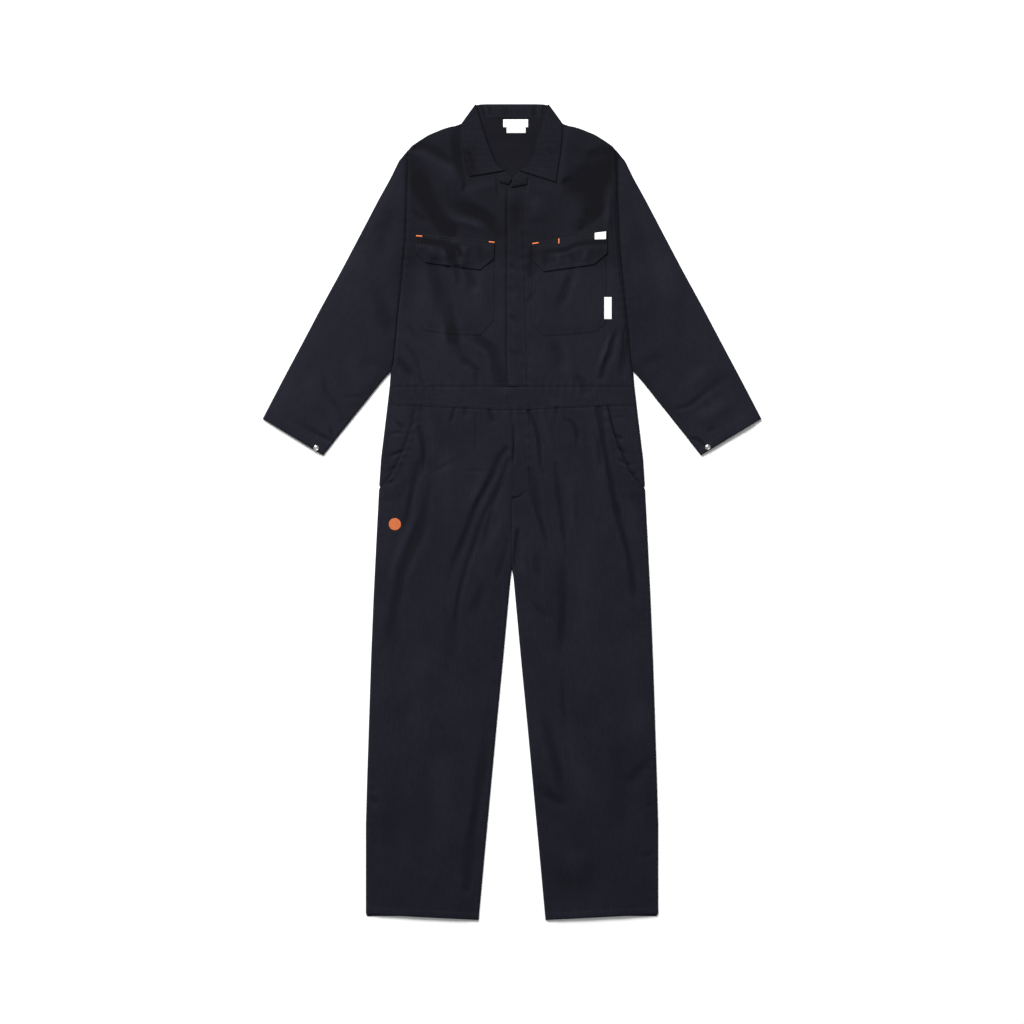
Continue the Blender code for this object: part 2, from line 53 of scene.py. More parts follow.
MM = 0.001
CAMERA_HEIGHT = 5831.0
CAMERA_LENS = 100.0
CAMERA_REACH = 200000.0
FLOOR_HALF = 30000.0
FLOOR_DROP = 0.2
KEY_ELEVATION = radians(35)
KEY_BEARING = radians(116)
KEY_DISTANCE = 8000.0
KEY_SIZE = 4600.0
KEY_POWER = 1180.0
SKY_STRENGTH = 0.38


def set_inputs(shader_node, **values):
    """Sets the inputs of a shader node by name, with an underscore for each space."""
    for word, value in values.items():
        shader_node.inputs[word.replace("_", " ")].default_value = value
    return shader_node


def plain_finish(name, **values):
    """A material of one shader with these values."""
    material = bpy.data.materials.new(name)
    material.use_nodes = True
    set_inputs(material.node_tree.nodes["Principled BSDF"], **values)
    return material


scene = bpy.context.scene
scene.view_settings.view_transform = "Standard"

camera = bpy.data.objects.new("camera", bpy.data.cameras.new("camera"))
camera.data.lens = CAMERA_LENS
camera.location = (0, 0, CAMERA_HEIGHT * MM)
camera.data.clip_end = CAMERA_REACH * MM
scene.collection.objects.link(camera)
scene.camera = camera

key = bpy.data.objects.new("key_light", bpy.data.lights.new("key_light", "AREA"))
key.data.shape = "DISK"
key.data.size = KEY_SIZE * MM
key.data.energy = KEY_POWER
toward_key = Vector((cos(KEY_BEARING), sin(KEY_BEARING), 0)) * cos(KEY_ELEVATION)
toward_key.z = sin(KEY_ELEVATION)
key.location = toward_key * KEY_DISTANCE * MM
key.rotation_euler = toward_key.to_track_quat("Z", "Y").to_euler()
scene.collection.objects.link(key)

sky = bpy.data.worlds.new("sky")
sky.use_nodes = True
set_inputs(sky.node_tree.nodes["Background"], Color=(1.0, 1.0, 1.0, 1.0), Strength=SKY_STRENGTH)
scene.world = sky

floor_mesh = bmesh.new()
bmesh.ops.create_grid(floor_mesh, x_segments=2, y_segments=2, size=FLOOR_HALF * MM)
bmesh.ops.translate(floor_mesh, vec=(0, 0, -FLOOR_DROP * MM), verts=floor_mesh.verts)
floor = bpy.data.objects.new("floor", bpy.data.meshes.new("floor"))
floor_mesh.to_mesh(floor.data)
floor_mesh.free()
floor_white = (0.95, 0.95, 0.95, 1.0)
floor.data.materials.append(
    plain_finish("floor_white", Base_Color=floor_white, Roughness=0.9, Specular_IOR_Level=0.1)
)
scene.collection.objects.link(floor)

# ---- Back panels ----
# The back of the upper body, the back of the waistband and the two trouser backs are flat panels of navy
# twill that lie on the floor. They are cut a little inside the outline, and the fronts roll over their edges.

CLOTH = 1.2
LAYER = 1.5
SEAM = 0.15
INSET = 1.9
STAGGER = 3.0
TUCK = 3.2
CROTCH = -116.0
WAIST_TOP = 257.0
WAIST_FOOT = 208.4
WAIST_CLIMB = 0.045
BACK_FOOT = WAIST_FOOT + 16
LEG_RUN = 1040.0
LEG_FOOT_IN = -836.0
LEG_FOOT_OUT = -824.0
COARSE = 9.0
SIDES = (("right", -1), ("left", 1))

NAVY = (0.0090, 0.0093, 0.0150, 1.0)
NAVY_DEEP = (0.0073, 0.0075, 0.0127, 1.0)

# Edge lines, as rows of height and half width.
SIDE = [(287, 248.5), (256, 251), (207, 256.5), (158, 262.5), (109, 268.5), (48, 272.5), (-58, 278)]
SIDE += [(-180, 284), (-303, 289), (-426, 293), (-549, 297), (-640, 299.5), (-824, 299.5)]
ARMHOLE = [(287, 248.5), (306, 243), (391, 235), (485, 225), (560, 218.5), (636, 215.5)]
ARMHOLE += [(700, 214), (742, 212.5)]
SHOULDER = [(742, 212.5), (750, 206), (761, 190), (773, 171), (783, 147), (789, 129)]
SHOULDER += [(793, 101.6), (802, 93.4), (809, 87.2)]
INSEAM = [(-116, 0.3), (-140, 3.5), (-180, 7.2), (-303, 18.5), (-426, 30.5), (-549, 42)]
INSEAM += [(-672, 53.5), (-836, 68.5)]

# Spacing of the mesh lines beside a seam, from its edge inwards, so that the seam can be rounded and welted.
RIM_STEPS = [0.0, 0.35, 0.9, 1.8, 3.0, 4.6, 6.4, 7.8, 9.4, 12.0]


def ease(value):
    """Smooth step from 0 to 1."""
    value = np.clip(value, 0.0, 1.0)
    return value * value * (3 - 2 * value)


def x_at(line, y):
    """Half width of an edge line at the height y."""
    rows = sorted(line)
    return np.interp(y, [row[0] for row in rows], [row[1] for row in rows])


def side_x(y):
    """Outline of the body, leg and shoulder."""
    trunk = np.where(y >= 287, x_at(ARMHOLE, y), x_at(SIDE, y))
    return np.where(y >= 742, x_at(SHOULDER, y), trunk)


def waist_foot(x):
    """The waistband's lower seam, which climbs a little towards the side seams."""
    return WAIST_FOOT + WAIST_CLIMB * np.abs(x)


def spaced(width, count):
    """Distances across a panel from its first edge: close together at both edges, even between them."""
    rim = np.array(RIM_STEPS)
    width = np.asarray(width, dtype=float)[:, None]
    squeeze = np.minimum(1.0, width / (4 * rim[-1]))
    middle = rim[-1] * squeeze + (width - 2 * rim[-1] * squeeze) * np.linspace(0, 1, count + 2)[None, 1:-1]
    return np.concatenate([rim * squeeze, middle, (width - rim[::-1] * squeeze)], axis=1)


def grid_of(spots):
    """A grid sheet whose points are moved to an array of places, row by row."""
    rows, columns = spots.shape[:2]
    sheet = bmesh.new()
    bmesh.ops.create_grid(sheet, x_segments=columns - 1, y_segments=rows - 1, size=1)
    for vert, spot in zip(sheet.verts, spots.reshape(-1, 3)):
        vert.co = spot
    return sheet


def walled(sheet, wall, shade_and_wear):
    """Closes an open sheet into a wall of cloth. Each point has its own wall height and its own colour value,
    which carries painted shade and paler rubbed edges.
    """
    wall_of = sheet.verts.layers.float.new("wall")
    shade_and_wear_of = sheet.verts.layers.float.new("shade_and_wear")
    for vert, height, painted_shade_and_wear in zip(sheet.verts, np.ravel(wall), np.ravel(shade_and_wear)):
        vert[wall_of] = height
        vert[shade_and_wear_of] = painted_shade_and_wear
    grown = bmesh.ops.extrude_face_region(sheet, geom=sheet.faces[:], use_keep_orig=True)
    for item in grown["geom"]:
        if isinstance(item, bmesh.types.BMVert):
            item.co.z += item[wall_of]
    bmesh.ops.recalc_face_normals(sheet, faces=sheet.faces)
    return sheet


def rim_drop(distance):
    """How much thinner the cloth's top gets towards a cut or folded edge, so that the edge looks rolled."""
    return 0.55 * (1 - np.clip(distance / 1.7, 0, 1)) ** 2


def welt(distance):
    """Raised band beside a felled seam, where the seam allowances lie folded under the topstitching."""
    return 0.55 * ease((distance - 0.5) / 1.3) * (1 - ease((distance - 6.9) / 1.8))


def finished(name, source, material):
    """Turns a bmesh in millimetres into a piece that rides on the frame."""
    bmesh.ops.scale(source, vec=(MM, MM, MM), verts=source.verts)
    mesh = bpy.data.meshes.new(name)
    source.to_mesh(mesh)
    source.free()
    mesh.shade_smooth()
    mesh.set_sharp_from_angle(angle=radians(58))
    mesh.materials.append(material)
    piece = bpy.data.objects.new(name, mesh)
    scene.collection.objects.link(piece)
    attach(piece, "root")
    return piece


def shader_step(material, kind, source=None, into="Vector", **values):
    """Adds a shader node with these values, fed from an output of an earlier one."""
    step = set_inputs(material.node_tree.nodes.new("ShaderNode" + kind), **values)
    if source:
        material.node_tree.links.new(source, step.inputs[into])
    return step


def multiplied(material, colour, by):
    """A colour output multiplied by the output of a range."""
    blend = shader_step(material, "Mix", Factor=1.0)
    blend.data_type = "RGBA"
    blend.blend_type = "MULTIPLY"
    material.node_tree.links.new(colour, blend.inputs["A"])
    material.node_tree.links.new(by, blend.inputs["B"])
    return blend.outputs["Result"]


def navy_twill(name, grain=0.0):
    """Dark navy 3/1 twill: a fine steep diagonal rib, slubbed yarns, a cloudy dye, paler rubbed edges and
    painted shade.
    """
    material = plain_finish(name, Specular_IOR_Level=0.08, Sheen_Weight=0.012, Sheen_Roughness=0.45)
    link = material.node_tree.links.new
    shader = set_inputs(material.node_tree.nodes["Principled BSDF"], Sheen_Tint=(0.72, 0.80, 1.0, 1.0))
    place = shader_step(material, "TexCoord").outputs["Object"]
    on_grain = shader_step(material, "Mapping", place, Rotation=(0, 0, -grain)).outputs["Vector"]

    # Rib, slubs and the cloudiness of the dye.
    on_rib = shader_step(material, "Mapping", on_grain, Rotation=(0, 0, radians(-27))).outputs["Vector"]
    rib = shader_step(material, "TexWave", on_rib, Scale=262.0, Distortion=0.6, Detail=1.0, Detail_Scale=1.5)
    on_yarn = shader_step(material, "Mapping", on_grain, Scale=(900, 70, 70)).outputs["Vector"]
    slub = shader_step(material, "TexNoise", on_yarn, Scale=1.0, Detail=2.0).outputs["Fac"]
    cloud = shader_step(material, "TexNoise", place, Scale=9.0, Detail=4.0, Roughness=0.55).outputs["Fac"]

    dye = shader_step(material, "Mix")
    dye.data_type = "RGBA"
    set_inputs(dye, A=NAVY_DEEP, B=NAVY)
    cloudy = shader_step(material, "MapRange", cloud, "Value", From_Min=0.35, From_Max=0.62)
    link(cloudy.outputs["Result"], dye.inputs["Factor"])
    slub_range = {"From_Min": 0.3, "From_Max": 0.7, "To_Min": 0.82, "To_Max": 1.18}
    yarn = shader_step(material, "MapRange", slub, "Value", **slub_range)
    yarn_colour = multiplied(material, dye.outputs["Result"], yarn.outputs["Result"])

    # Painted shade darkens the colour where the point value is below 0, in folds, along seams and under
    # things; above 0 it is paler, on rubbed edges and welts and as painted highlight on ridges.
    painted_shade_and_wear = shader_step(material, "Attribute")
    painted_shade_and_wear.attribute_name = "shade_and_wear"
    shade_and_wear_range = {"From_Min": -1.0, "From_Max": 1.0, "To_Min": 0.35, "To_Max": 1.65}
    shade_and_wear_factor = shader_step(material, "MapRange", painted_shade_and_wear.outputs["Fac"], "Value", **shade_and_wear_range)
    link(multiplied(material, yarn_colour, shade_and_wear_factor.outputs["Result"]), shader.inputs["Base Color"])

    rib_bump = shader_step(material, "Bump", rib.outputs["Fac"], "Height", Strength=0.35, Distance=0.00012)
    slub_bump = shader_step(material, "Bump", slub, "Height", Strength=0.5, Distance=0.00015)
    link(rib_bump.outputs["Normal"], slub_bump.inputs["Normal"])
    link(slub_bump.outputs["Normal"], shader.inputs["Normal"])
    rough = shader_step(material, "MapRange", cloud, "Value", To_Min=0.70, To_Max=0.84)
    link(rough.outputs["Result"], shader.inputs["Roughness"])
    return material


def back_wrinkle(x, y, room):
    """Low soft wrinkles of the back layer. They stay under the front's own lift."""
    wave = sin_wave(x, y, 96, 0.35, 0.7) * sin_wave(x, y, 151, 1.25, 2.1) + 0.5 * sin_wave(x, y, 61, 2.2, 0.3)
    return 0.6 * ease(np.clip(wave, 0, 1)) * ease((room - 8) / 26)


def sin_wave(x, y, length, bearing, phase):
    """A wavy ripple across the cloth, of a wave length and a bearing, bent so that it never runs straight."""
    bent_x = x + 13 * np.sin(y / 83 + phase) + 7 * np.sin(y / 41 + x / 137)
    bent_y = y + 15 * np.sin(x / 71 + 2 * phase) + 6 * np.sin(x / 33 - y / 149)
    return np.sin(2 * pi * (bent_x * cos(bearing) + bent_y * sin(bearing)) / length + phase)


def collar_lift(x, y, y_low, y_high, x_full, x_none):
    """Lift of a body layer over the collar's fall, which lies folded under the back of the neck."""
    up = np.clip((y - y_low) / (y_high - y_low), 0, 1)
    across = np.clip((x_none - np.abs(x)) / (x_none - x_full), 0, 1)
    return LAYER * up * across


def painted_neck_shade(x, y):
    """Painted shade on the inside of the back, where the collar shades it."""
    return -0.72 * ease((104 - np.abs(x)) / 12) * ease((y - 676) / 8)


def back_panel(name, rows_y, left_x, right_x, nodes, tucked=0.0):
    """A flat back panel between two edge lines, laid as a sheet. A tucked edge runs on inside the sleeve."""
    count = int((right_x - left_x).max() / COARSE)
    x = left_x[:, None] + spaced(right_x - left_x, count)
    y = np.broadcast_to(rows_y[:, None], x.shape) if rows_y.ndim == 1 else rows_y
    room = np.minimum(x - left_x[:, None], right_x[:, None] - x)
    tuck = tucked * (1 - ease((room - TUCK - 0.3) / 1.5))
    under = collar_lift(x, y, 762, 780, 110, 150) + back_wrinkle(x, y, room) + 1.15 * tuck
    wall = (CLOTH - rim_drop(room)) * (1 - 0.55 * tuck)
    # The back's colour value is only the painted shade inside the neck.
    sheet = walled(grid_of(np.stack([x, y, under], axis=2)), wall, painted_neck_shade(x, y))
    piece = finished(name, sheet, body_twill)
    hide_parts(*nodes)
    return piece


def even_rows(start, end, step):
    """Rows between two heights, evenly spaced."""
    return np.linspace(start, end, int(abs(end - start) / step) + 2)


body_twill = navy_twill("twill_body")

bodice_y = even_rows(WAIST_TOP + SEAM + STAGGER, 808, COARSE)
in_sleeve = ease((bodice_y - 292) / 12) * (1 - ease((bodice_y - 715) / 20))
bodice_edge = side_x(bodice_y) - np.where(bodice_y < 287, INSET, 0.0) - INSET * ease((bodice_y - 700) / 40)
bodice_edge = bodice_edge + TUCK * in_sleeve
tucked = in_sleeve[:, None]
back_panel(
    "back_of_body", bodice_y, -bodice_edge, bodice_edge, ["back_bodice"], tucked
)

band_y = even_rows(BACK_FOOT + SEAM, WAIST_TOP - SEAM + STAGGER, COARSE)
band_edge = x_at(SIDE, band_y) - INSET
back_panel("back_of_waistband", band_y, -band_edge, band_edge, ["waistband_back"])

leg_share = even_rows(0, 1, COARSE / LEG_RUN)
for word, side in SIDES:
    leg_y = BACK_FOOT - SEAM + leg_share * (LEG_FOOT_OUT - 4 - BACK_FOOT)
    middle = 0.25 - side * STAGGER / 2
    inner = np.where(leg_y < CROTCH, x_at(INSEAM, leg_y) + INSET * ease((CROTCH - leg_y) / 30), middle)
    inner = middle + (inner - middle) * ease((CROTCH + 30 - leg_y) / 60)
    outer = x_at(SIDE, leg_y) - INSET
    near, far = (inner, outer) if side > 0 else (-outer, -inner)
    node = f"trouser_back_{word}"
    back_panel(node + "_cloth", leg_y, near, far, [node])

# ---- Front of the body ----
# Two front panels of the same twill lie on the back and are felled to it at the shoulders and sides. Being
# loose, they hold the folds of the whole suit's front, which run on over the waistband, legs and sleeves.

FINE = 3.3
PANEL_WIDTH = 250.0
CENTRE = 0.6
FLOOR_OF_FOLDS = 0.6
FOLD_DEPTH = 1.9
DEEPEST = 7.0
EDGE_LOW = 0.15
EDGE_ROLL = 4.2
NECKLINE = [(682, 0.6), (699.1, 17), (702.6, 28), (709.1, 40), (722.6, 53.5), (740.6, 66), (760.6, 76.5)]
NECKLINE += [(783.6, 83), (800.6, 85), (810.6, 85.8)]
POCKET_MOUTH = [(48, 272.4), (66, 254), (84, 242), (102, 234), (125, 223), (151, 213), (180, 204)]
POCKET_MOUTH += [(217, 196.5)]

# Soft creases, which also carry painted shade in their troughs and a painted highlight on their ridges: half
# width, height (a trough is below 0), strength at the first and the last end, and route.
Crease = namedtuple("Crease", "width height head tail route")
CHEST_CREASES = [
    Crease(
        21, -3.3, 0.4, 0.9,
        [(-202, 713), (-187, 668), (-168, 630), (-152, 602), (-140, 586), (-126, 573)],
    ),
    Crease(10, -1.9, 0.7, 0.0, [(-196, 747), (-172, 744), (-148, 728), (-120, 712), (-100, 700)]),
    Crease(17, -2.5, 0.1, 0.6, [(-140, 634), (-112, 624), (-84, 615), (-52, 600), (-28, 566)]),
    Crease(8, -1.0, 0.1, 0.0, [(-202, 620), (-188, 602), (-170, 588)]),
    Crease(22, 1.7, 0.2, 0.1, [(-190, 736), (-140, 700), (-78, 652)]),
    Crease(9, 1.2, 0.0, 0.2, [(-126, 603), (-94, 592), (-50, 577)]),
    Crease(16, -2.6, 0.7, 0.7, [(-156, 506), (-144, 450), (-131, 398), (-119, 353)]),
    Crease(11, -2.2, 0.3, 0.4, [(-128, 412), (-124, 384), (-118, 362), (-113, 340), (-104, 322), (-94, 306)]),
    Crease(7, -1.5, 0.7, 0.5, [(-99, 308), (-84, 298), (-74, 290), (-70, 272), (-69, 260)]),
    Crease(12, 1.3, 0.0, 0.2, [(-150, 540), (-134, 400), (-138, 350), (-128, 290)]),
    Crease(13, -2.6, 0.1, 0.8, [(-84, 366), (-62, 346), (-42, 328), (-32, 306), (-26, 282), (-20, 264)]),
    Crease(9, 1.1, 0.0, 0.1, [(-74, 340), (-52, 326), (-44, 306), (-40, 280)]),
    Crease(8, -2.1, 0.4, 0.3, [(-230, 310), (-216, 289), (-203, 274)]),
    Crease(4, -0.9, 0.2, 0.8, [(-188, 279), (-182, 262)]),
    Crease(6, -0.9, 0.0, 0.1, [(-218, 394), (-200, 362), (-182, 337)]),
    Crease(6, -1.0, 0.1, 0.5, [(-227, 348), (-209, 331), (-198, 315), (-182, 280)]),
    Crease(20, -0.8, 0.0, 0.0, [(-100, 480), (-88, 430), (-70, 400)]),
    Crease(18, 0.9, 0.0, 0.0, [(-60, 520), (-66, 450), (-76, 380)]),
    Crease(7, -1.7, 0.2, 0.8, [(186, 746), (198, 738), (214, 729)]),
    Crease(8, -1.1, 0.3, 0.0, [(98, 668), (114, 675), (131, 678)]),
    Crease(8, -1.1, 0.2, 0.1, [(150, 614), (170, 607)]),
    Crease(6, -0.9, 0.3, 0.2, [(136, 574), (152, 584)]),
    Crease(12, -1.6, 0.3, 0.0, [(127, 498), (112, 455), (92, 406)]),
    Crease(7, -1.9, 0.1, 0.5, [(220, 378), (207, 347), (203, 325), (192, 303), (185, 276)]),
    Crease(6, 1.2, 0.1, 0.3, [(206, 372), (195, 340), (188, 318), (178, 284)]),
    Crease(8, -1.3, 0.1, 0.7, [(129, 284), (141, 266), (152, 246)]),
    Crease(17, 1.2, 0.1, 0.1, [(46, 648), (52, 618), (50, 588)]),
    Crease(9, 1.3, 0.1, 0.2, [(201, 664), (197, 610), (197, 572)]),
    Crease(30, 0.9, 0.0, 0.0, [(150, 650), (120, 540), (140, 420)]),
    Crease(9, -2.6, 0.4, 0.3, [(234, 372), (233, 336), (229, 310), (226, 284)]),
    Crease(16, -0.9, 0.0, 0.0, [(70, 350), (96, 320), (104, 280)]),
    Crease(12, 0.9, 0.1, 0.2, [(112, 350), (116, 310), (122, 270)]),
    Crease(7, -0.9, 0.5, 0.0, [(34, 502), (40, 486), (37, 474)]),
    Crease(7, -0.8, 0.5, 0.0, [(44, 446), (36, 432), (30, 424)]),
    Crease(17, -2.6, 0.5, 0.1, [(-106, 782), (-108, 752), (-104, 716), (-92, 680), (-64, 664)]),
    Crease(34, -2.5, 0.3, 0.0, [(204, 730), (180, 676), (166, 634), (160, 596)]),
    Crease(22, -1.9, 0.3, 0.0, [(206, 724), (166, 700), (126, 664), (88, 640)]),
    Crease(10, -1.2, 0.9, 0.0, [(208, 742), (176, 734), (146, 722)]),
    Crease(16, -1.6, 0.0, 0.0, [(196, 640), (160, 600), (120, 566)]),
    Crease(13, 1.1, 0.0, 0.1, [(-104, 500), (-94, 440), (-84, 392)]),
    Crease(10, -1.8, 0.8, 0.0, [(-92, 500), (-84, 478), (-70, 448)]),
    Crease(8, -1.5, 0.9, 0.0, [(-112, 498), (-108, 474), (-104, 456)]),
    Crease(12, -1.6, 0.0, 0.2, [(44, 548), (44, 510), (48, 472)]),
    Crease(26, -1.2, 0.1, 0.1, [(-204, 560), (-214, 470), (-216, 390)]),
    Crease(15, -1.0, 0.2, 0.2, [(6, 640), (8, 600), (4, 560)]),
]
HIP_CREASES = [
    Crease(5, -2.4, 0.5, 0.3, [(-189, 172), (-184, 150), (-180, 128), (-180, 84)]),
    Crease(8, -1.5, 0.3, 0.0, [(-190, 96), (-204, 36), (-214, -16), (-222, -60)]),
    Crease(
        12, -1.8, 0.2, 0.1,
        [(-164, 96), (-166, 60), (-182, -22), (-204, -80)]
        + [(-224, -130), (-234, -182), (-250, -244), (-272, -292)],
    ),
    Crease(6, -0.7, 0.2, 0.0, [(-163, 80), (-140, 92), (-112, 108)]),
    Crease(14, 1.3, 0.1, 0.1, [(-164, 196), (-160, 140), (-150, 92)]),
    Crease(18, 0.9, 0.0, 0.0, [(-130, 150), (-132, 60), (-122, -40)]),
    Crease(
        7, -2.2, 0.4, 0.1,
        [(-11, 128), (-25, 108), (-44, 65), (-73, 12), (-98, -56), (-117, -104), (-131, -146)],
    ),
    Crease(
        6, -1.9, 0.4, 0.1,
        [(-7, 104), (-28, 50), (-54, -3), (-73, -56), (-91, -109), (-108, -172), (-115, -235), (-118, -290)],
    ),
    Crease(6, -1.3, 0.3, 0.0, [(-13, 70), (-35, 22), (-49, -27), (-59, -80)]),
    Crease(8, 1.0, 0.0, 0.0, [(-44, 20), (-64, -30), (-84, -86), (-100, -150)]),
    Crease(12, -1.1, 0.0, 0.0, [(-56, -130), (-66, -180), (-86, -224)]),
    Crease(10, 1.1, 0.0, 0.0, [(-190, 20), (-206, -30), (-236, -100), (-252, -170)]),
    Crease(12, 1.1, 0.0, 0.0, [(-46, 110), (-66, 52), (-96, -4)]),
    Crease(16, 0.9, 0.0, 0.0, [(-8, 50), (-24, -30), (-60, -112)]),
    Crease(5, -1.4, 0.8, 0.0, [(-45, 206), (-40, 192), (-35, 178)]),
    Crease(3.4, -0.5, 0.6, 0.4, [(-74, 200), (-74, 113)]),
    Crease(3.4, -0.5, 0.4, 0.4, [(-100, 84), (-42, 84)]),
    Crease(5, -1.2, 0.9, 0.0, [(-118, 209), (-121, 194), (-128, 180)]),
    Crease(5, -1.1, 0.9, 0.0, [(-96, 210), (-94, 192)]),
    Crease(6, -3.0, 0.6, 0.8, [(178, 210), (183, 186), (190, 133), (199, 84), (209, 36), (217, -3)]),
    Crease(7, -2.5, 0.9, 0.0, [(214, 12), (222, -22), (238, -80), (246, -122), (250, -162), (254, -210)]),
    Crease(8, -1.7, 0.2, 0.1, [(167, 160), (180, 131), (185, 74)]),
    Crease(13, 1.5, 0.1, 0.0, [(160, 196), (172, 140), (184, 90), (196, 10)]),
    Crease(16, 1.0, 0.1, 0.0, [(236, 40), (258, -40), (268, -130)]),
    Crease(6, -2.0, 0.3, 0.2, [(90, 98), (96, 47), (102, 0), (108, -50), (112, -92)]),
    Crease(9, -1.7, 0.2, 0.1, [(106, -100), (106, -150), (105, -206), (103, -256), (102, -306)]),
    Crease(11, 1.0, 0.0, 0.0, [(118, 80), (124, 0), (132, -70)]),
    Crease(5, -2.4, 0.8, 0.3, [(35, 204), (47, 180), (55, 150), (58, 120), (60, 98), (65, 80)]),
    Crease(9, 1.1, 0.4, 0.1, [(58, 206), (76, 150), (84, 104)]),
    Crease(5, -1.9, 0.3, 0.2, [(108, 188), (122, 182), (132, 167), (135, 150), (135, 133)]),
    Crease(6, -1.3, 0.3, 0.0, [(45, 84), (51, 51), (63, -14)]),
    Crease(6, -1.9, 0.4, 0.0, [(37, 86), (42, 56), (48, 22), (66, -41), (82, -102)]),
    Crease(8, -1.0, 0.1, 0.0, [(51, -76), (57, -150)]),
    Crease(8, -0.9, 0.2, 0.0, [(40, -183), (56, -202), (76, -227)]),
    Crease(3.2, -1.6, 0.5, 0.6, [(3, 176), (5, 140), (3, 104)]),
    Crease(4.5, -1.0, 0.9, 0.0, [(93, 213), (92, 196)]),
    Crease(7, 0.8, 0.3, 0.0, [(18, -66), (22, -110), (34, -150)]),
    Crease(6, -1.0, 0.6, 0.0, [(12, -46), (16, -84), (22, -120)]),
    Crease(6, -0.9, 0.5, 0.0, [(-9, -60), (-18, -100), (-34, -150)]),
    Crease(4, -0.8, 0.3, 0.4, [(-254, 157), (-236, 162), (-214, 160)]),
    Crease(5, -1.0, 0.2, 0.3, [(-252, 112), (-240, 118), (-219, 126)]),
    Crease(5, -0.7, 0.3, 0.5, [(-254, 82), (-242, 90), (-228, 88)]),
    Crease(5, -0.7, 0.3, 0.3, [(-262, 54), (-250, 60), (-236, 66)]),
    Crease(4, -1.4, 0.2, 0.3, [(-240, 186), (-228, 176), (-222, 164)]),
    Crease(4, -1.3, 0.5, 0.1, [(209, 157), (220, 150), (230, 150)]),
    Crease(3.6, -1.5, 0.5, 0.2, [(214, 132), (228, 124), (236, 116)]),
    Crease(3.6, -1.4, 0.4, 0.3, [(222, 106), (236, 96), (246, 98)]),
    Crease(3.6, -1.3, 0.4, 0.3, [(236, 84), (248, 76), (256, 80)]),
    Crease(4, -0.6, 0.3, 0.2, [(206, 190), (220, 194), (232, 190)]),
]
LEG_CREASES = [
    Crease(26, -0.8, 0.1, 0.0, [(104, -116), (106, -193), (104, -294)]),
    Crease(30, 0.9, 0.0, 0.0, [(140, -60), (156, -190), (170, -320)]),
    Crease(15, -1.0, 0.1, 0.0, [(-238, -192), (-241, -240), (-238, -294)]),
    Crease(18, -1.0, 0.0, 0.0, [(-125, -192), (-122, -270), (-126, -344)]),
    Crease(30, 0.8, 0.0, 0.0, [(-190, -180), (-188, -350), (-196, -520)]),
    Crease(11, -1.8, 0.1, 0.8, [(-48, -420), (-57, -509), (-70, -591), (-82, -673), (-92, -772)]),
    Crease(30, 1.0, 0.0, 0.1, [(-130, -470), (-138, -640), (-150, -790)]),
    Crease(11, -2.0, 0.1, 0.3, [(60, -400), (74, -446), (84, -482), (96, -533), (110, -592)]),
    Crease(11, -1.9, 0.3, 0.2, [(60, -570), (84, -588), (112, -605)]),
    Crease(8, -0.9, 0.2, 0.1, [(104, -330), (107, -400), (110, -470)]),
    Crease(26, 1.0, 0.0, 0.0, [(110, -420), (136, -520), (170, -620)]),
    Crease(15, -1.3, 0.3, 0.0, [(282, -506), (258, -536), (232, -566)]),
    Crease(7, -0.8, 0.5, 0.0, [(290, -598), (274, -604)]),
    Crease(7, -0.8, 0.5, 0.0, [(290, -700), (264, -706)]),
    Crease(8, -0.8, 0.5, 0.0, [(-291, -590), (-270, -598)]),
    Crease(24, -0.8, 0.0, 0.0, [(210, -420), (226, -560), (214, -700)]),
    Crease(28, 0.8, 0.0, 0.0, [(250, -300), (262, -420), (256, -500)]),
    Crease(20, -0.7, 0.0, 0.0, [(-232, -520), (-244, -640), (-240, -760)]),
    Crease(22, 0.8, 0.0, 0.2, [(120, -660), (130, -760), (134, -836)]),
    Crease(34, -1.3, 0.1, 0.2, [(82, -752), (128, -762), (188, -748)]),
]
SLEEVE_CREASES = [
    Crease(5, -1.6, 0.1, 0.3, [(-388, 284), (-381, 252), (-369, 225), (-355, 207), (-347, 188)]),
    Crease(5, -1.9, 0.1, 0.9, [(-438, 186), (-421, 171), (-398, 159), (-380, 150), (-365, 145)]),
    Crease(3.6, -1.7, 0.2, 0.9, [(-372, 173), (-369, 160), (-364, 147)]),
    Crease(5, -0.6, 0.1, 0.1, [(-350, 234), (-324, 236), (-299, 233)]),
    Crease(16, -1.6, 0.1, 0.1, [(-275, 460), (-262, 405), (-246, 350)]),
    Crease(30, 1.1, 0.0, 0.0, [(-300, 560), (-318, 470), (-336, 380)]),
    Crease(18, 0.8, 0.0, 0.1, [(-334, 332), (-318, 280), (-300, 232)]),
    Crease(16, 1.0, 0.0, 0.1, [(-420, 290), (-404, 232), (-396, 200)]),
    Crease(20, -0.8, 0.0, 0.0, [(-240, 640), (-262, 560), (-290, 480)]),
    Crease(5.5, -1.9, 0.3, 0.2, [(337, 211), (364, 218), (389, 238), (407, 253), (425, 266), (443, 277)]),
    Crease(4.5, -2.8, 0.6, 0.8, [(360, 151), (374, 150), (386, 144), (393, 136)]),
    Crease(4.5, -1.2, 0.2, 0.2, [(396, 161), (410, 168), (425, 176)]),
    Crease(8, -0.6, 0.1, 0.1, [(394, 216), (409, 223)]),
    Crease(30, 1.1, 0.0, 0.0, [(300, 560), (318, 470), (336, 380)]),
    Crease(17, 0.8, 0.2, 0.2, [(364, 180), (416, 206), (468, 238)]),
    Crease(16, 0.6, 0.1, 0.1, [(350, 246), (390, 280), (424, 306)]),
    Crease(20, -0.8, 0.0, 0.0, [(242, 640), (264, 560), (288, 480)]),
    Crease(12, -0.6, 0.2, 0.0, [(262, 288), (286, 310), (318, 318)]),
    Crease(12, -0.5, 0.2, 0.0, [(-262, 288), (-288, 304), (-316, 300)]),
]
CREASES = CHEST_CREASES + HIP_CREASES + LEG_CREASES + SLEEVE_CREASES

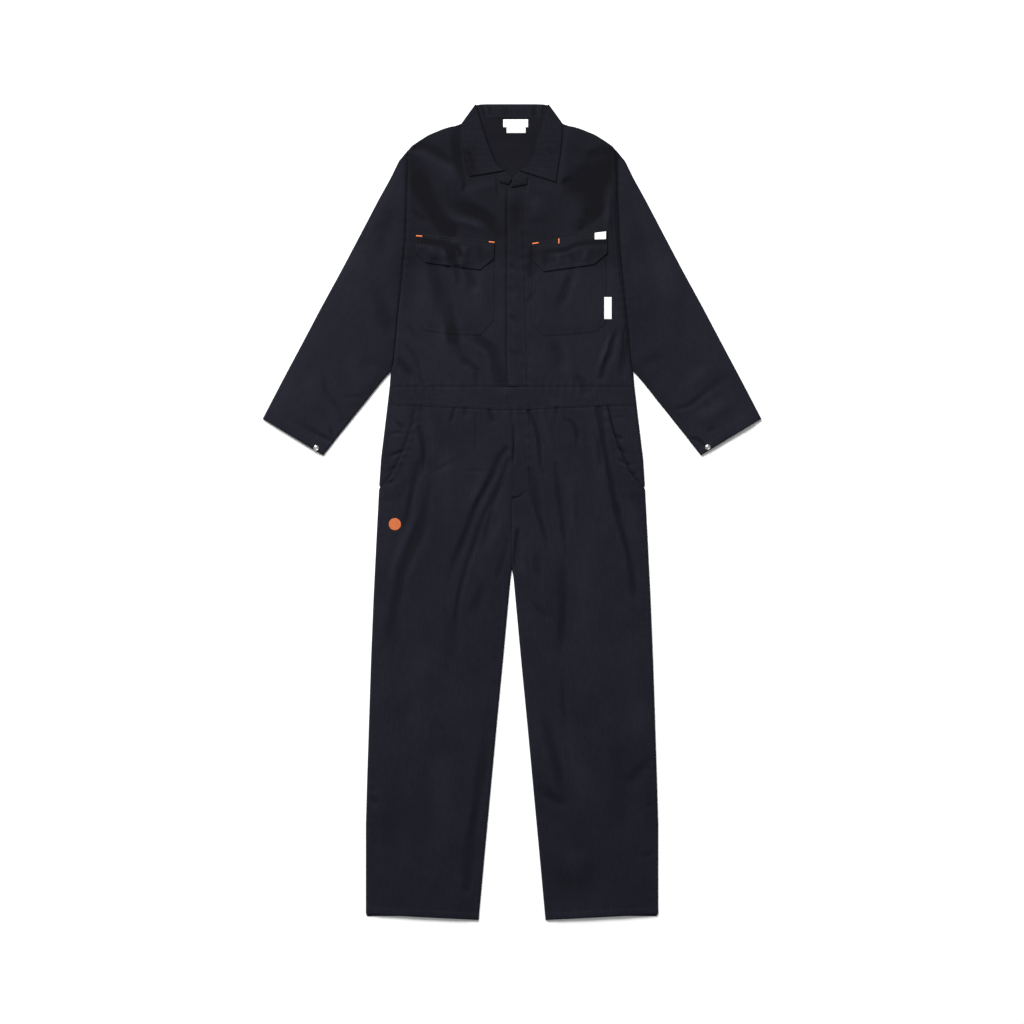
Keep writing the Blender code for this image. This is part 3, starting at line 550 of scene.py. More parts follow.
# Lines of stitching that draw the cloth up: reach to each side, height, spacing of the puckers and route.
Pucker = namedtuple("Pucker", "reach height pitch route")
OUTSEAM_STITCH = 7.0
PUCKERS = [
    Pucker(15, 0.50, 18, [(-254, 257), (254, 257)]),
    Pucker(17, 0.55, 21, [(-254, 219.5), (-9, 208.8), (254, 219.5)]),
    Pucker(9, 0.35, 26, [(-3, 264), (-3, 660)]),
    Pucker(9, 0.40, 24, [(22, 664), (31, 262)]),
    Pucker(9, 0.35, 25, [(34, 205), (34, 60), (22, 14)]),
    Pucker(10, 0.35, 17, [(-(x - OUTSEAM_STITCH), y) for y, x in SIDE[1:]]),
    Pucker(10, 0.35, 16, [(x - OUTSEAM_STITCH, y) for y, x in SIDE[1:]]),
    Pucker(9, 0.30, 19, [(-(x + OUTSEAM_STITCH), y) for y, x in INSEAM[2:]]),
    Pucker(9, 0.30, 18, [(x + OUTSEAM_STITCH, y) for y, x in INSEAM[2:]]),
    Pucker(11, 0.40, 20, [(-x, y) for y, x in ARMHOLE]),
    Pucker(11, 0.40, 19, [(x, y) for y, x in ARMHOLE]),
]


def soft_route(points, step=7.0):
    """A soft curve through given points, as close points along it."""
    ends = [np.array(point, float) for point in points]
    ends = [2 * ends[0] - ends[1]] + ends + [2 * ends[-1] - ends[-2]]
    curve = []
    for before, start, end, after in zip(ends, ends[1:], ends[2:], ends[3:]):
        count = max(1, int(np.linalg.norm(end - start) / step))
        for share in np.arange(count) / count:
            bend = (2 * before - 5 * start + 4 * end - after) * share**2
            bend += (3 * start - before - 3 * end + after) * share**3
            curve.append(start + 0.5 * ((end - before) * share + bend))
    return np.array(curve + [ends[-2]])


def beside(route, x, y):
    """How far along a route each point is, its distance to the left of it, and the route's length."""
    nearest = np.full(np.shape(x), 1e9)
    along = np.zeros(np.shape(x))
    hand = np.ones(np.shape(x))
    travelled = 0.0
    for (ax, ay), (bx, by) in zip(route, route[1:]):
        run_x, run_y = bx - ax, by - ay
        length = hypot(run_x, run_y)
        share = np.clip(((x - ax) * run_x + (y - ay) * run_y) / length**2, 0, 1)
        off_x, off_y = x - ax - share * run_x, y - ay - share * run_y
        gap = np.hypot(off_x, off_y)
        closer = gap < nearest
        nearest = np.where(closer, gap, nearest)
        along = np.where(closer, travelled + share * length, along)
        hand = np.where(closer, np.where(run_x * off_y - run_y * off_x < 0, -1.0, 1.0), hand)
        travelled += length
    return along, nearest * hand, travelled


def near_route(route, reach, x, y):
    """Which points lie in a route's box, grown by its reach."""
    low, high = route.min(axis=0) - reach, route.max(axis=0) + reach
    return (x > low[0]) & (x < high[0]) & (y > low[1]) & (y < high[1])


def crease_sum(creases, x, y):
    """Height of the creases: each is a soft trough or ridge with low rims, uneven along its length."""
    height = np.zeros(np.shape(x))
    for number, crease in enumerate(creases):
        route = soft_route(crease.route)
        near = near_route(route, 2.9 * crease.width, x, y)
        if not near.any():
            continue
        along, off, length = beside(route, x[near], y[near])
        width = crease.width * (1 + 0.16 * np.sin(along / 31 + number))
        across = off / width
        profile = (1 - 0.62 * across**2) * np.exp(-0.85 * across**2)
        share = along / length
        strength = crease.head + (1 - crease.head) * ease(share / 0.38)
        strength *= crease.tail + (1 - crease.tail) * ease((1 - share) / 0.38)
        strength *= 1 + 0.15 * np.sin(along / 19 + 2 * number)
        height[near] += FOLD_DEPTH * crease.height * strength * profile
    return height


def pucker_sum(x, y):
    """Height of the small waves along the rows of stitching."""
    height = np.zeros(np.shape(x))
    for number, pucker in enumerate(PUCKERS):
        route = np.array(pucker.route, float)
        near = near_route(route, 2.4 * pucker.reach, x, y)
        if not near.any():
            continue
        along, off, length = beside(route, x[near], y[near])
        turn = along / pucker.pitch + 0.42 * np.sin(along / (2.9 * pucker.pitch) + number)
        swell = 0.55 + 0.45 * np.sin(along / 47 + 1.7 * number)
        height[near] += pucker.height * swell * np.sin(2 * pi * turn) * np.exp(-((off / pucker.reach) ** 2))
    return height


def outline_room(x, y):
    """Distance inwards from the suit's outline, where the front turns round to the back."""
    half = np.abs(x)
    trunk = np.where(y > 287, np.hypot(x_at(ARMHOLE, y) - half, y - 287), x_at(SIDE, y) - half)
    shoulder_x, shoulder_y = [row[1] for row in SHOULDER[::-1]], [row[0] for row in SHOULDER[::-1]]
    top = (np.interp(half, shoulder_x, shoulder_y) - y) * 0.93
    inner = np.where(y < CROTCH, half - x_at(INSEAM, y), np.hypot(half, y - CROTCH))
    return np.clip(np.minimum(np.minimum(trunk, top), inner), 0, None)


def clear_of_collar(x, y):
    """0 under the collar and the lapels, where the front is held flat, and 1 away from them."""
    half = np.abs(x)
    outer = np.interp(y, [676, 688, 716, 753, 790, 812], [92, 93, 97, 102, 104.5, 105])
    lower = np.interp(half, [0, 30, 34, 60, 92], [664, 666, 690, 684, 675])
    return ease(np.maximum((half - outer) / 12, (lower - y) / 26))


def loose_rise(x, y, room, creases):
    """Lift of the front layer: a low puff, broad waves, creases and puckers, dying out towards its edges."""
    puff = 1.5 * ease(room / 5) + 1.5 * ease(room / 36)
    waves = 0.34 * sin_wave(x, y, 173, 0.4, 0.9) + 0.26 * sin_wave(x, y, 118, 1.9, 2.4)
    waves += 0.15 * sin_wave(x, y, 64, 2.7, 0.2) + 0.09 * sin_wave(x, y, 37, 1.1, 4.0)
    lively = puff + waves * ease(room / 24) + (creases + pucker_sum(x, y)) * ease(room / 13)
    spare = lively - FLOOR_OF_FOLDS
    return FLOOR_OF_FOLDS + 0.5 * (spare + np.sqrt(spare**2 + 0.5))


# Seams that draw the cloth down and carry painted shade along their lines: depth, reach to each side and
# route.
SEAM_DIPS = [
    (0.35, 3.0, [(-254, 257), (254, 257)]),
    (0.5, 3.0, [(-254, 219.5), (0, 208.2), (254, 219.5)]),
    (0.7, 4.0, [(0, 206), (0, -112)]),
    (1.8, 2.4, [(-10.4, 258), (-10.4, 660)]),
    (1.4, 5.0, [(-x, y) for y, x in ARMHOLE]),
    (2.6, 7.0, [(x, y) for y, x in ARMHOLE]),
    (2.0, 3.6, [(12, -38), (8, -68), (5, -108)]),
    (1.1, 3.4, [(-(x + 1.5), y) for y, x in POCKET_MOUTH]),
    (1.3, 3.6, [(x + 1.5, y) for y, x in POCKET_MOUTH]),
]


def seam_dip(x, y):
    """How far the seams draw the cloth down."""
    dip = np.zeros(np.shape(x))
    for depth, reach, route in SEAM_DIPS:
        route = np.array(route, float)
        near = near_route(route, 2.5 * reach, x, y)
        if near.any():
            off = beside(route, x[near], y[near])[1]
            dip[near] += depth * np.exp(-((off / reach) ** 2))
    return dip


def fold_shade(creases, dips=0.0):
    """Painted shade: below 0 in troughs and along seam lines, and a small painted highlight above it on
    ridges.
    """
    return np.clip(creases / DEEPEST, -0.8, 0.3) - 0.26 * np.clip(dips, 0, 2)


def painted_falloff_shade(y):
    """Painted shade: the upper body and the lower legs are painted darker than the rest, standing in for light
    that falls off there.
    """
    return -0.5 * ease((y - 488) / 44) - 0.12 * ease((-y - 420) / 200)


def front_form(x, y):
    """Underside of the front layer of the body, waistband and legs, and its painted shade from folds, seams
    and light falloff.
    """
    x, y = np.asarray(x, float), np.asarray(y, float)
    room = outline_room(x, y)
    clear = clear_of_collar(x, y)
    creases, dips = crease_sum(CREASES, x, y), seam_dip(x, y)
    rise = loose_rise(x, y, room, creases) - dips * ease(room / 20)
    rise = np.maximum(rise, 0.35) * clear
    full = LAYER + rise + collar_lift(x, y, 732, 774, 122, 172)
    roll = np.sqrt(1 - (1 - np.clip(room / EDGE_ROLL, 0, 1)) ** 2)
    turned = np.where(y > 700, ease((np.abs(x) - 122) / 30), 1.0)
    shade = fold_shade(creases * clear, dips) + painted_falloff_shade(y)
    return full - turned * (full - EDGE_LOW) * (1 - roll), shade


def front_panel(name, x, y, room, welted, nodes, lift=0.0, material=None, extra_painted_shade=0.0):
    """A front panel from its grid of points: a fine shell on the fold surface with a rolled, welted rim."""
    under, shade = front_form(x, y)
    wall = CLOTH - rim_drop(room) + welt(welted)
    # Paler rubbed rim and welts, painted shade from the folds, seams and light falloff, and any extra painted
    # shade.
    shade_and_wear = 0.4 * (1 - ease(room / 2.6)) + 0.2 * welt(welted) + shade - extra_painted_shade
    sheet = walled(grid_of(np.stack([x, y, under + lift], axis=2)), wall, shade_and_wear)
    piece = finished(name, sheet, material or body_twill)
    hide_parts(*nodes)
    return piece


def handed(side, *grids):
    """Grids of the left piece, of which the first holds x, or the same ones turned over for the right."""
    if side > 0:
        return grids
    turned = [grid[:, ::-1] for grid in grids]
    return [-turned[0]] + turned[1:]


def rim_rows(start, end, step):
    """Rows between two heights, close together at both ends."""
    return start + np.sign(end - start) * spaced([abs(end - start)], int(abs(end - start) / step))[0]


bodice_y = rim_rows(WAIST_TOP + SEAM, 808, FINE)
neck_x = np.where(bodice_y < 682, CENTRE, x_at(NECKLINE, bodice_y) + 0.8)
outer_x = side_x(bodice_y) - 0.1 * (bodice_y > 287)
for word, side in SIDES:
    across = spaced(outer_x - neck_x, int(PANEL_WIDTH / FINE))
    x = neck_x[:, None] + across
    y = np.broadcast_to(bodice_y[:, None], x.shape)
    from_outer = outer_x[:, None] - x
    room = np.minimum(across, from_outer)
    welted = np.where(y > 287, from_outer, 0.0)
    x, y, room, welted = handed(side, x, y, room, welted)
    front_panel(f"front_{word}", x, y, room, welted, [f"front_bodice_{word}"])

# ---- Waistband ----
# A straight band of twill, cut crosswise and folded double, takes the body and the trousers. Elastic drawn
# through its sides gathers it there, and it is topstitched along both seams.

BAND_END = -9.0
BAND_HALF = 254.9

band_twill = navy_twill("twill_waistband", pi / 2)
for word, low_x, high_x in (("right", -BAND_HALF, BAND_END - 0.2), ("left", BAND_END + 0.2, BAND_HALF)):
    columns = low_x + spaced([high_x - low_x], int((high_x - low_x) / FINE))[0]
    share = spaced([WAIST_TOP - WAIST_FOOT], 10)[0] / (WAIST_TOP - WAIST_FOOT)
    foot = waist_foot(columns) + SEAM
    y = foot[None, :] + share[:, None] * (WAIST_TOP - SEAM - foot)[None, :]
    edge = x_at(SIDE, y)
    pull = ease((np.abs(columns) - 190) / 60)[None, :]
    x = columns[None, :] * (1 + pull * (edge / BAND_HALF - 1))
    room = np.abs(x - BAND_END)
    inside = np.minimum(y - foot[None, :], WAIST_TOP - SEAM - y)
    gather = 0.55 * np.sin(2 * pi * (x / 8.3 + 0.4 * np.sin(x / 17) + 0.02 * y))
    gather *= ease((np.abs(x) - 148) / 16) * ease(outline_room(x, y) / 9) * ease(inside / 7)
    node = f"waistband_front_{word}"
    front_panel(node + "_cloth", x, y, room, 0 * x, [node], 0.25 + gather, band_twill)

# ---- Trousers ----
# Each leg's front is one long panel. Its upper outer corner is cut away along the slanted hip pocket's mouth,
# and the pocket's facing fills the corner behind it.

FACING_UNDER = 22.0
LEG_STEP = 3.8
LEG_CELL = 3.6


def mouth_lift(x, y):
    """Room between the front and the facing beside the pocket mouth."""
    inside = x_at(POCKET_MOUTH, np.maximum(y, 48)) - np.abs(x)
    return 2.1 * ease((58 - inside) / 30) * ease((y - 20) / 26) * ease(outline_room(x, y) / 11)


def mouth_pucker(x, y):
    """The bias-cut mouth is stretched by its two rows of stitching and waves a little."""
    inside = x_at(POCKET_MOUTH, np.maximum(y, 48)) - np.abs(x)
    wave = np.sin(2 * pi * (y / 19 + 0.35 * np.sin(y / 31 + x / 60)))
    wave = wave * np.exp(-((inside - 6) ** 2) / 130)
    return 0.5 * wave * ease((y - 40) / 20) * ease(outline_room(x, y) / 11)


leg_share = spaced([LEG_RUN], int(LEG_RUN / LEG_STEP))[0] / LEG_RUN
for word, side in SIDES:
    top_in, top_out = WAIST_FOOT - SEAM, waist_foot(197) - SEAM
    inner_y = top_in + leg_share * (LEG_FOOT_IN - top_in)
    outer_y = top_out + leg_share * (LEG_FOOT_OUT - top_out)
    inner = np.where(inner_y < CROTCH, x_at(INSEAM, inner_y), 0.15)
    outer = np.where(outer_y > 48, x_at(POCKET_MOUTH, outer_y), x_at(SIDE, outer_y))
    across = spaced(outer - inner, int(PANEL_WIDTH / LEG_CELL))
    share = across / (outer - inner)[:, None]
    x = inner[:, None] + across
    y = inner_y[:, None] + share * (outer_y - inner_y)[:, None]
    from_outer = outer[:, None] - x
    hem = (1 - leg_share)[:, None] * LEG_RUN + 0 * x
    room = np.minimum(np.minimum(across, from_outer), hem)
    welted = np.where(y > 50, from_outer, 0.0)
    welted = np.where(hem < 16, 0.62 * hem, welted)
    # Painted shade along the edge of the pocket mouth, where the front stands off the facing.
    extra_painted_shade = np.where(y > 46, np.exp(-((from_outer / 2.2) ** 2)), 0.0)
    x, y, room, welted, extra_painted_shade = handed(side, x, y, room, welted, extra_painted_shade)
    lift = mouth_lift(x, y) + mouth_pucker(x, y)
    node = f"trouser_front_{word}"
    front_panel(node + "_cloth", x, y, room, welted, [node], lift, extra_painted_shade=extra_painted_shade)

    facing_y = rim_rows(waist_foot(230) - SEAM, 54, FINE)
    inner = x_at(POCKET_MOUTH, facing_y) - FACING_UNDER * ease((facing_y - 40) / 40)
    outer = x_at(SIDE, facing_y)
    across = spaced(outer - inner, 18)
    x = inner[:, None] + across
    y = facing_y[:, None] + (WAIST_CLIMB * (x - 230)) * ease((facing_y - 150) / 60)[:, None]
    room = np.minimum(across, np.abs(y - y[-1].max()))
    x, y, room = handed(side, x, y, room)
    node = f"hip_pocket_facing_{word}"
    front_panel(f"pocket_facing_{word}", x, y, room, 0 * x, [node])

# ---- Sleeves ----
# Each sleeve is a flattened tube of twill, closed by a felled seam under the arm and set into the armhole.
# Its cuff is a plain turned hem that closes with a snap.

SleeveRow = namedtuple("SleeveRow", "in_x in_y out_x out_y bow")
SLEEVE = [
    SleeveRow(249.1, 287, 213.1, 742, 1.0),
    SleeveRow(256, 280, 232, 719, 0.85),
    SleeveRow(268, 266, 249, 684, 0.7),
    SleeveRow(284, 246, 275, 637, 0.5),
    SleeveRow(302, 223, 311, 568, 0.3),
    SleeveRow(320, 201, 350, 494, 0.15),
    SleeveRow(338, 178, 391, 419, 0.0),
    SleeveRow(355, 157, 430, 345, 0.0),
    SleeveRow(371, 136, 470, 270, 0.0),
    SleeveRow(387, 116, 511, 191, 0.0),
]
TURN = 3.0
TURN_STEPS = 7
SLEEVE_STEP = 3.0
FRONT_STEPS = 92
BACK_STEPS = 34
SLEEVE_WALL = 1.0


def sleeve_row(place):
    """Ends and bow of the ring at a place along the sleeve, from 0 at the armhole to 1 at the cuff."""
    table = np.array(SLEEVE)
    stations = np.linspace(0, 1, len(SLEEVE))
    return SleeveRow(*(np.interp(place, stations, table[:, column]) for column in range(5)))


def sleeve_spot(place, share):
    """Point on a ring, by its share of the way from the underarm to the outer edge."""
    row = sleeve_row(place)
    start = SLEEVE[0]
    seam_y = start.in_y + share * (start.out_y - start.in_y)
    straight = start.in_x + share * (start.out_x - start.in_x)
    bow = row.bow * (x_at(ARMHOLE, seam_y) + 3 * SEAM - straight)
    return row.in_x + share * (row.out_x - row.in_x) + bow, row.in_y + share * (row.out_y - row.in_y)


def sleeve_top(x, y, room, to_armhole):
    """Top of the sleeve on its fold surface. It dips at the armhole seam like the body beside it."""
    creases = crease_sum(CREASES, x, y)
    dips = np.where(x > 0, 2.6, 1.4) * np.exp(-((to_armhole / np.where(x > 0, 7.0, 5.0)) ** 2))
    rise = loose_rise(x, y, room, creases) - dips * ease(room / 20)
    return LAYER + CLOTH + np.maximum(rise, 0.35), fold_shade(creases, dips)


cuff_run = hypot(SLEEVE[-1].in_x - SLEEVE[0].in_x, SLEEVE[-1].in_y - SLEEVE[0].in_y)
place_steps = spaced([cuff_run], int(cuff_run / SLEEVE_STEP))[0] / cuff_run


def sleeve_ring(side, place):
    """One closed loop round the tube: the flat back, the outer turn, the folded front and the inner turn."""
    ends = sleeve_spot(place, np.array([0.0, 1.0]))
    span = hypot(ends[0][1] - ends[0][0], ends[1][1] - ends[1][0])
    flat_part = np.linspace(TURN, span - TURN, BACK_STEPS)
    front_part = TURN + spaced([span - 2 * TURN], FRONT_STEPS)[0][::-1]
    angle = np.linspace(0, pi, TURN_STEPS + 2)[1:-1]
    outer_turn = span - TURN + TURN * np.sin(angle)
    inner_turn = TURN - TURN * np.sin(angle)
    run = np.concatenate([flat_part, outer_turn, front_part, inner_turn])
    x, y = sleeve_spot(place, run / span)
    x = side * x
    room = np.clip(np.minimum(run, span - run), 0, None)
    top, shade = sleeve_top(x, y, np.maximum(room, TURN), place * cuff_run)
    hem = (1 - place) * cuff_run
    top += 0.5 * ease(hem / 1.5) * (1 - ease((hem - 7) / 2)) - 0.5 * (1 - ease(hem / 1.6))
    back_end, front_end = len(flat_part), len(flat_part) + TURN_STEPS
    z = np.zeros(len(run))
    z[front_end : front_end + len(front_part)] = top[front_end : front_end + len(front_part)]
    z[back_end:front_end] = top[back_end:front_end] * (1 - np.cos(angle)) / 2
    z[-TURN_STEPS:] = top[-TURN_STEPS:] * (1 + np.cos(angle)) / 2
    # Painted shade beside the armhole seam, deeper on the left sleeve; the hem is paler where rubbed, and the
    # folds carry painted shade.
    painted_armhole_shade = np.where(x > 0, 0.75, 0.2) * np.exp(-((place * cuff_run / 3.4) ** 2))
    shade_and_wear = 0.55 * (1 - ease((hem + 1) / 4)) + np.where(z > LAYER, shade, 0.0) - painted_armhole_shade
    # Painted light and shade along the sleeve: paler towards the cuff and darker near the armhole.
    shade_and_wear += 0.2 * ease((place - 0.5) / 0.35) - 0.2 * (1 - ease(place / 0.4))
    return np.stack([x, y, z], axis=1), shade_and_wear


def tube(rings, shade_and_wear):
    """A grid sheet closed on itself: its last column meets its first one, and the two are merged."""
    sheet = grid_of(np.concatenate([rings, rings[:, :1]], axis=1))
    shade_and_wear_of = sheet.verts.layers.float.new("shade_and_wear")
    for vert, painted_shade_and_wear in zip(sheet.verts, np.ravel(np.concatenate([shade_and_wear, shade_and_wear[:, :1]], axis=1))):
        vert[shade_and_wear_of] = painted_shade_and_wear
    bmesh.ops.remove_doubles(sheet, verts=sheet.verts, dist=0.0005)
    bmesh.ops.recalc_face_normals(sheet, faces=sheet.faces)
    return sheet


for word, side in SIDES:
    rings = [sleeve_ring(side, place) for place in place_steps]
    cloth = tube(np.array([ring for ring, shade_and_wear in rings]), np.array([shade_and_wear for ring, shade_and_wear in rings]))
    grain = side * radians(31)
    sleeve = finished(f"sleeve_{word}_cloth", cloth, navy_twill(f"twill_sleeve_{word}", grain))
    wall = sleeve.modifiers.new("wall", "SOLIDIFY")
    wall.thickness = SLEEVE_WALL * MM
    wall.offset = -1.0
    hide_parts(f"sleeve_{word}")

# ---- Covered front closing ----
# A strip of twill covers the closing from the collar to the waistband, and a second one, curved at its foot,
# covers the fly. Each is folded at its free edge and topstitched down along its other one.

RIM_CUTS = [0.5, 1.1, 1.8, 2.6]
ROW_CUTS = [6.7, 7.5, 8.3]
SEWN_ROWS = (1.9, 7.5)
SEWN_WALL = 0.7
SEWN_GAP = 0.12


def inside_edges(outline, x, y):
    """Distance inwards from the nearest side of a convex outline whose corners run counter-clockwise."""
    nearest = np.full(np.shape(x), 1e9)
    for (ax, ay), (bx, by) in zip(outline, outline[1:] + outline[:1]):
        off = ((bx - ax) * (y - ay) - (by - ay) * (x - ax)) / hypot(bx - ax, by - ay)
        nearest = np.minimum(nearest, off)
    return nearest


def cut_sheet(outline, cell, cuts):
    """A grid sheet cut to a convex outline, with lines of points close inside its edges."""
    corners = np.array(outline, float)
    low, high = corners.min(axis=0), corners.max(axis=0)
    counts = np.maximum(2, ((high - low) / cell).astype(int))
    sheet = bmesh.new()
    bmesh.ops.create_grid(sheet, x_segments=counts[0], y_segments=counts[1], size=1)
    middle, half = (low + high) / 2, (high - low) / 2 + 0.01
    bmesh.ops.scale(sheet, vec=(half[0], half[1], 1), verts=sheet.verts)
    bmesh.ops.translate(sheet, vec=(middle[0], middle[1], 0), verts=sheet.verts)
    for start, end in zip(outline, outline[1:] + outline[:1]):
        out = Vector((end[1] - start[1], start[0] - end[0], 0)).normalized()
        for depth in [0.0] + cuts:
            bmesh.ops.bisect_plane(
                sheet,
                geom=sheet.verts[:] + sheet.edges[:] + sheet.faces[:],
                dist=0.01,
                plane_co=Vector((start[0], start[1], 0)) - out * depth,
                plane_no=out,
                clear_outer=depth == 0.0,
            )
    bmesh.ops.remove_doubles(sheet, verts=sheet.verts, dist=0.02)
    return sheet


def row_groove(room):
    """1 along the two rows of stitching inside an edge, where the thread draws the cloth in."""
    return sum(np.exp(-(((room - row) / 0.75) ** 2)) for row in SEWN_ROWS)


def sewn_on(name, outline, own, down, nodes, material=None, wall=SEWN_WALL):
    """A piece sewn over the front. Own gives its fullness and folds; down is 1 where its edge lies flush."""
    sheet = cut_sheet(outline, FINE, RIM_CUTS + ROW_CUTS)
    spots = np.array([vert.co[:] for vert in sheet.verts])
    x, y = spots[:, 0], spots[:, 1]
    room = inside_edges(outline, x, y)
    under, shade = front_form(x, y)
    fullness, folds = own(x, y)
    flush = down(x, y)
    for vert, height in zip(sheet.verts, under + CLOTH + SEWN_GAP + fullness):
        vert.co.z = height
    height = wall * (1 - 0.6 * flush * (1 - ease(room / 3.4))) - rim_drop(room) * wall / CLOTH
    height = np.maximum(height - 0.22 * row_groove(room), 0.12)
    # Paler rubbed free edges; painted shade at the flush edges, along the rows of stitching and from the folds
    # under and on the piece.
    shade_and_wear = 0.4 * (1 - flush) * (1 - ease(room / 2.4)) - 0.35 * flush * (1 - ease(room / 1.2))
    shade_and_wear = shade_and_wear - 0.22 * row_groove(room) + shade + fold_shade(folds)
    piece = finished(name, walled(sheet, height, shade_and_wear), material or body_twill)
    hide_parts(*nodes)
    return piece


PLACKET = [(-9, 257.6), (31, 257.6), (21, 662), (-3, 664), (-9, 666)]
FLY = [(-2, 31), (14, 33), (29, 44), (34, 60), (34, 208.6), (-9, 208.6)]
PLACKET_CREASES = [
    Crease(5, -1.1, 0.0, 0.2, [(-6, 502), (10, 496), (20, 488)]),
    Crease(6, -1.2, 0.2, 0.1, [(-6, 398), (8, 392), (22, 385)]),
    Crease(6, -1.1, 0.1, 0.1, [(-4, 328), (10, 322), (26, 324)]),
    Crease(9, 0.8, 0.1, 0.1, [(-4, 372), (10, 366), (22, 362)]),
    Crease(8, 0.7, 0.0, 0.0, [(4, 450), (8, 430), (6, 412)]),
    Crease(4, -1.0, 0.6, 0.0, [(30, 97), (20, 98), (10, 96)]),
]


def placket_own(x, y):
    """The strip is double and stiffer than the front, and it stands off it along its free left edge."""
    folds = crease_sum(PLACKET_CREASES, x, y)
    loose = ease((26 - x) / 30)
    return loose * (0.5 + np.maximum(folds + 1.2, 0)), folds * loose


def placket_down(x, y):
    """Sewn flush along its right edge only."""
    return ease((x - 4) / 14) * ease((y - 262) / 10)


sewn_on("front_placket", PLACKET, placket_own, placket_down, ["placket_upper"])
sewn_on("fly_placket", FLY, placket_own, placket_down, ["placket_lower"])

# ---- Chest pockets ----
# Two patch pockets with chamfered lower corners are sewn on with two rows of stitching, and a flap covers
# each mouth. The flaps are double cloth and lift a little over the full pockets.

POCKET_RIGHT = [(-178, 371), (-130, 364), (-65, 361), (-36, 392), (-36, 545), (-196, 560), (-196, 391)]
POCKET_LEFT = [(65, 360), (120, 363), (173, 369), (194, 388), (194, 563), (42, 541), (42, 383)]
FLAP_RIGHT = [(-178, 511), (-65, 496), (-37, 519), (-35, 556), (-197, 571), (-197, 532)]
FLAP_LEFT = [(65, 492.5), (168, 507), (195, 530), (195, 576.5), (41, 552), (43, 514)]
FLAP_WALL = 1.1
FLAP_CREASES = [
    Crease(8, -4.4, 0.9, 0.7, [(-137, 563), (-131, 547), (-124, 528), (-114, 502)]),
    Crease(9, 1.5, 0.2, 0.6, [(-136, 548), (-136, 532), (-134, 508)]),
    Crease(7, 1.3, 0.2, 0.6, [(-90, 548), (-98, 530), (-106, 502)]),
    Crease(8, -3.6, 0.8, 0.7, [(-196, 556), (-172, 553), (-148, 550), (-130, 552)]),
    Crease(11, -2.0, 0.3, 0.2, [(-150, 544), (-128, 538), (-108, 546)]),
    Crease(6, -2.8, 0.3, 0.4, [(-116, 547), (-106, 532), (-101, 514)]),
    Crease(4, 1.5, 0.1, 0.2, [(-120, 528), (-115, 517), (-110, 508)]),
    Crease(8, 1.0, 0.1, 0.2, [(-176, 540), (-160, 530), (-156, 514)]),
    Crease(7, -0.9, 0.1, 0.5, [(-66, 548), (-62, 524), (-58, 502)]),
    Crease(6, -1.8, 0.3, 0.6, [(60, 530), (88, 532), (112, 536), (138, 547), (190, 550)]),
    Crease(7, -1.2, 0.1, 0.4, [(114, 530), (122, 522), (130, 508)]),
    Crease(9, 1.1, 0.1, 0.3, [(92, 536), (96, 518), (98, 500)]),
    Crease(8, 1.2, 0.1, 0.3, [(150, 540), (152, 526), (150, 510)]),
    Crease(7, -0.9, 0.1, 0.3, [(70, 536), (70, 514), (66, 500)]),
]


def pocket_own(x, y):
    """Fullness of the two pockets."""
    full = [0.9 * ease(inside_edges(outline, x, y) / 24) for outline in (POCKET_RIGHT, POCKET_LEFT)]
    return full[0] + full[1], 0 * x


def below_fold(x, y):
    """Distance down from the line where a flap is sewn on."""
    return np.where(x < 0, 571 - (x + 197) * 0.0926, 552 + (x - 41) * 0.159) - y


def flap_own(x, y):
    """The flaps hang from their upper edges, and their folds stand over the pockets, never into them."""
    creases = crease_sum(FLAP_CREASES, x, y)
    folds = 1.2 + creases
    lifted = 0.5 * (folds + np.sqrt(folds**2 + 0.2)) * (0.06 + 0.94 * ease(below_fold(x, y) / 22))
    over_pocket = (SEWN_WALL + SEWN_GAP) * ease(below_fold(x, y) / 9)
    # Painted shade on the flap's sewn upper band, and its folds painted deeper than their height alone gives.
    painted_band_shade = 2.2 * (1 - ease((below_fold(x, y) - 4) / 6))
    return pocket_own(x, y)[0] + over_pocket + lifted, 1.25 * creases - painted_band_shade


def all_round(x, y):
    """Sewn flush along every edge."""
    return 1 + 0 * x


def flap_down(x, y):
    """Sewn flush along the upper edge only."""
    return 1 - ease((below_fold(x, y) - 20) / 22)


sewn_on("pocket_right", POCKET_RIGHT, pocket_own, all_round, ["chest_pocket_right"])
sewn_on("pocket_left", POCKET_LEFT, pocket_own, all_round, ["chest_pocket_left"])
sewn_on(
    "flap_right", FLAP_RIGHT, flap_own, flap_down, ["pocket_flap_right"],
    wall=FLAP_WALL,
)
sewn_on(
    "flap_left", FLAP_LEFT, flap_own, flap_down, ["pocket_flap_left"],
    wall=FLAP_WALL,
)

# ---- Collar and lapels ----
# The collar is one double band of twill round the neck, folded over itself, with a topstitched outer edge.
# Below its ends the tops of the fronts turn out as two small lapels, the left one over the right.

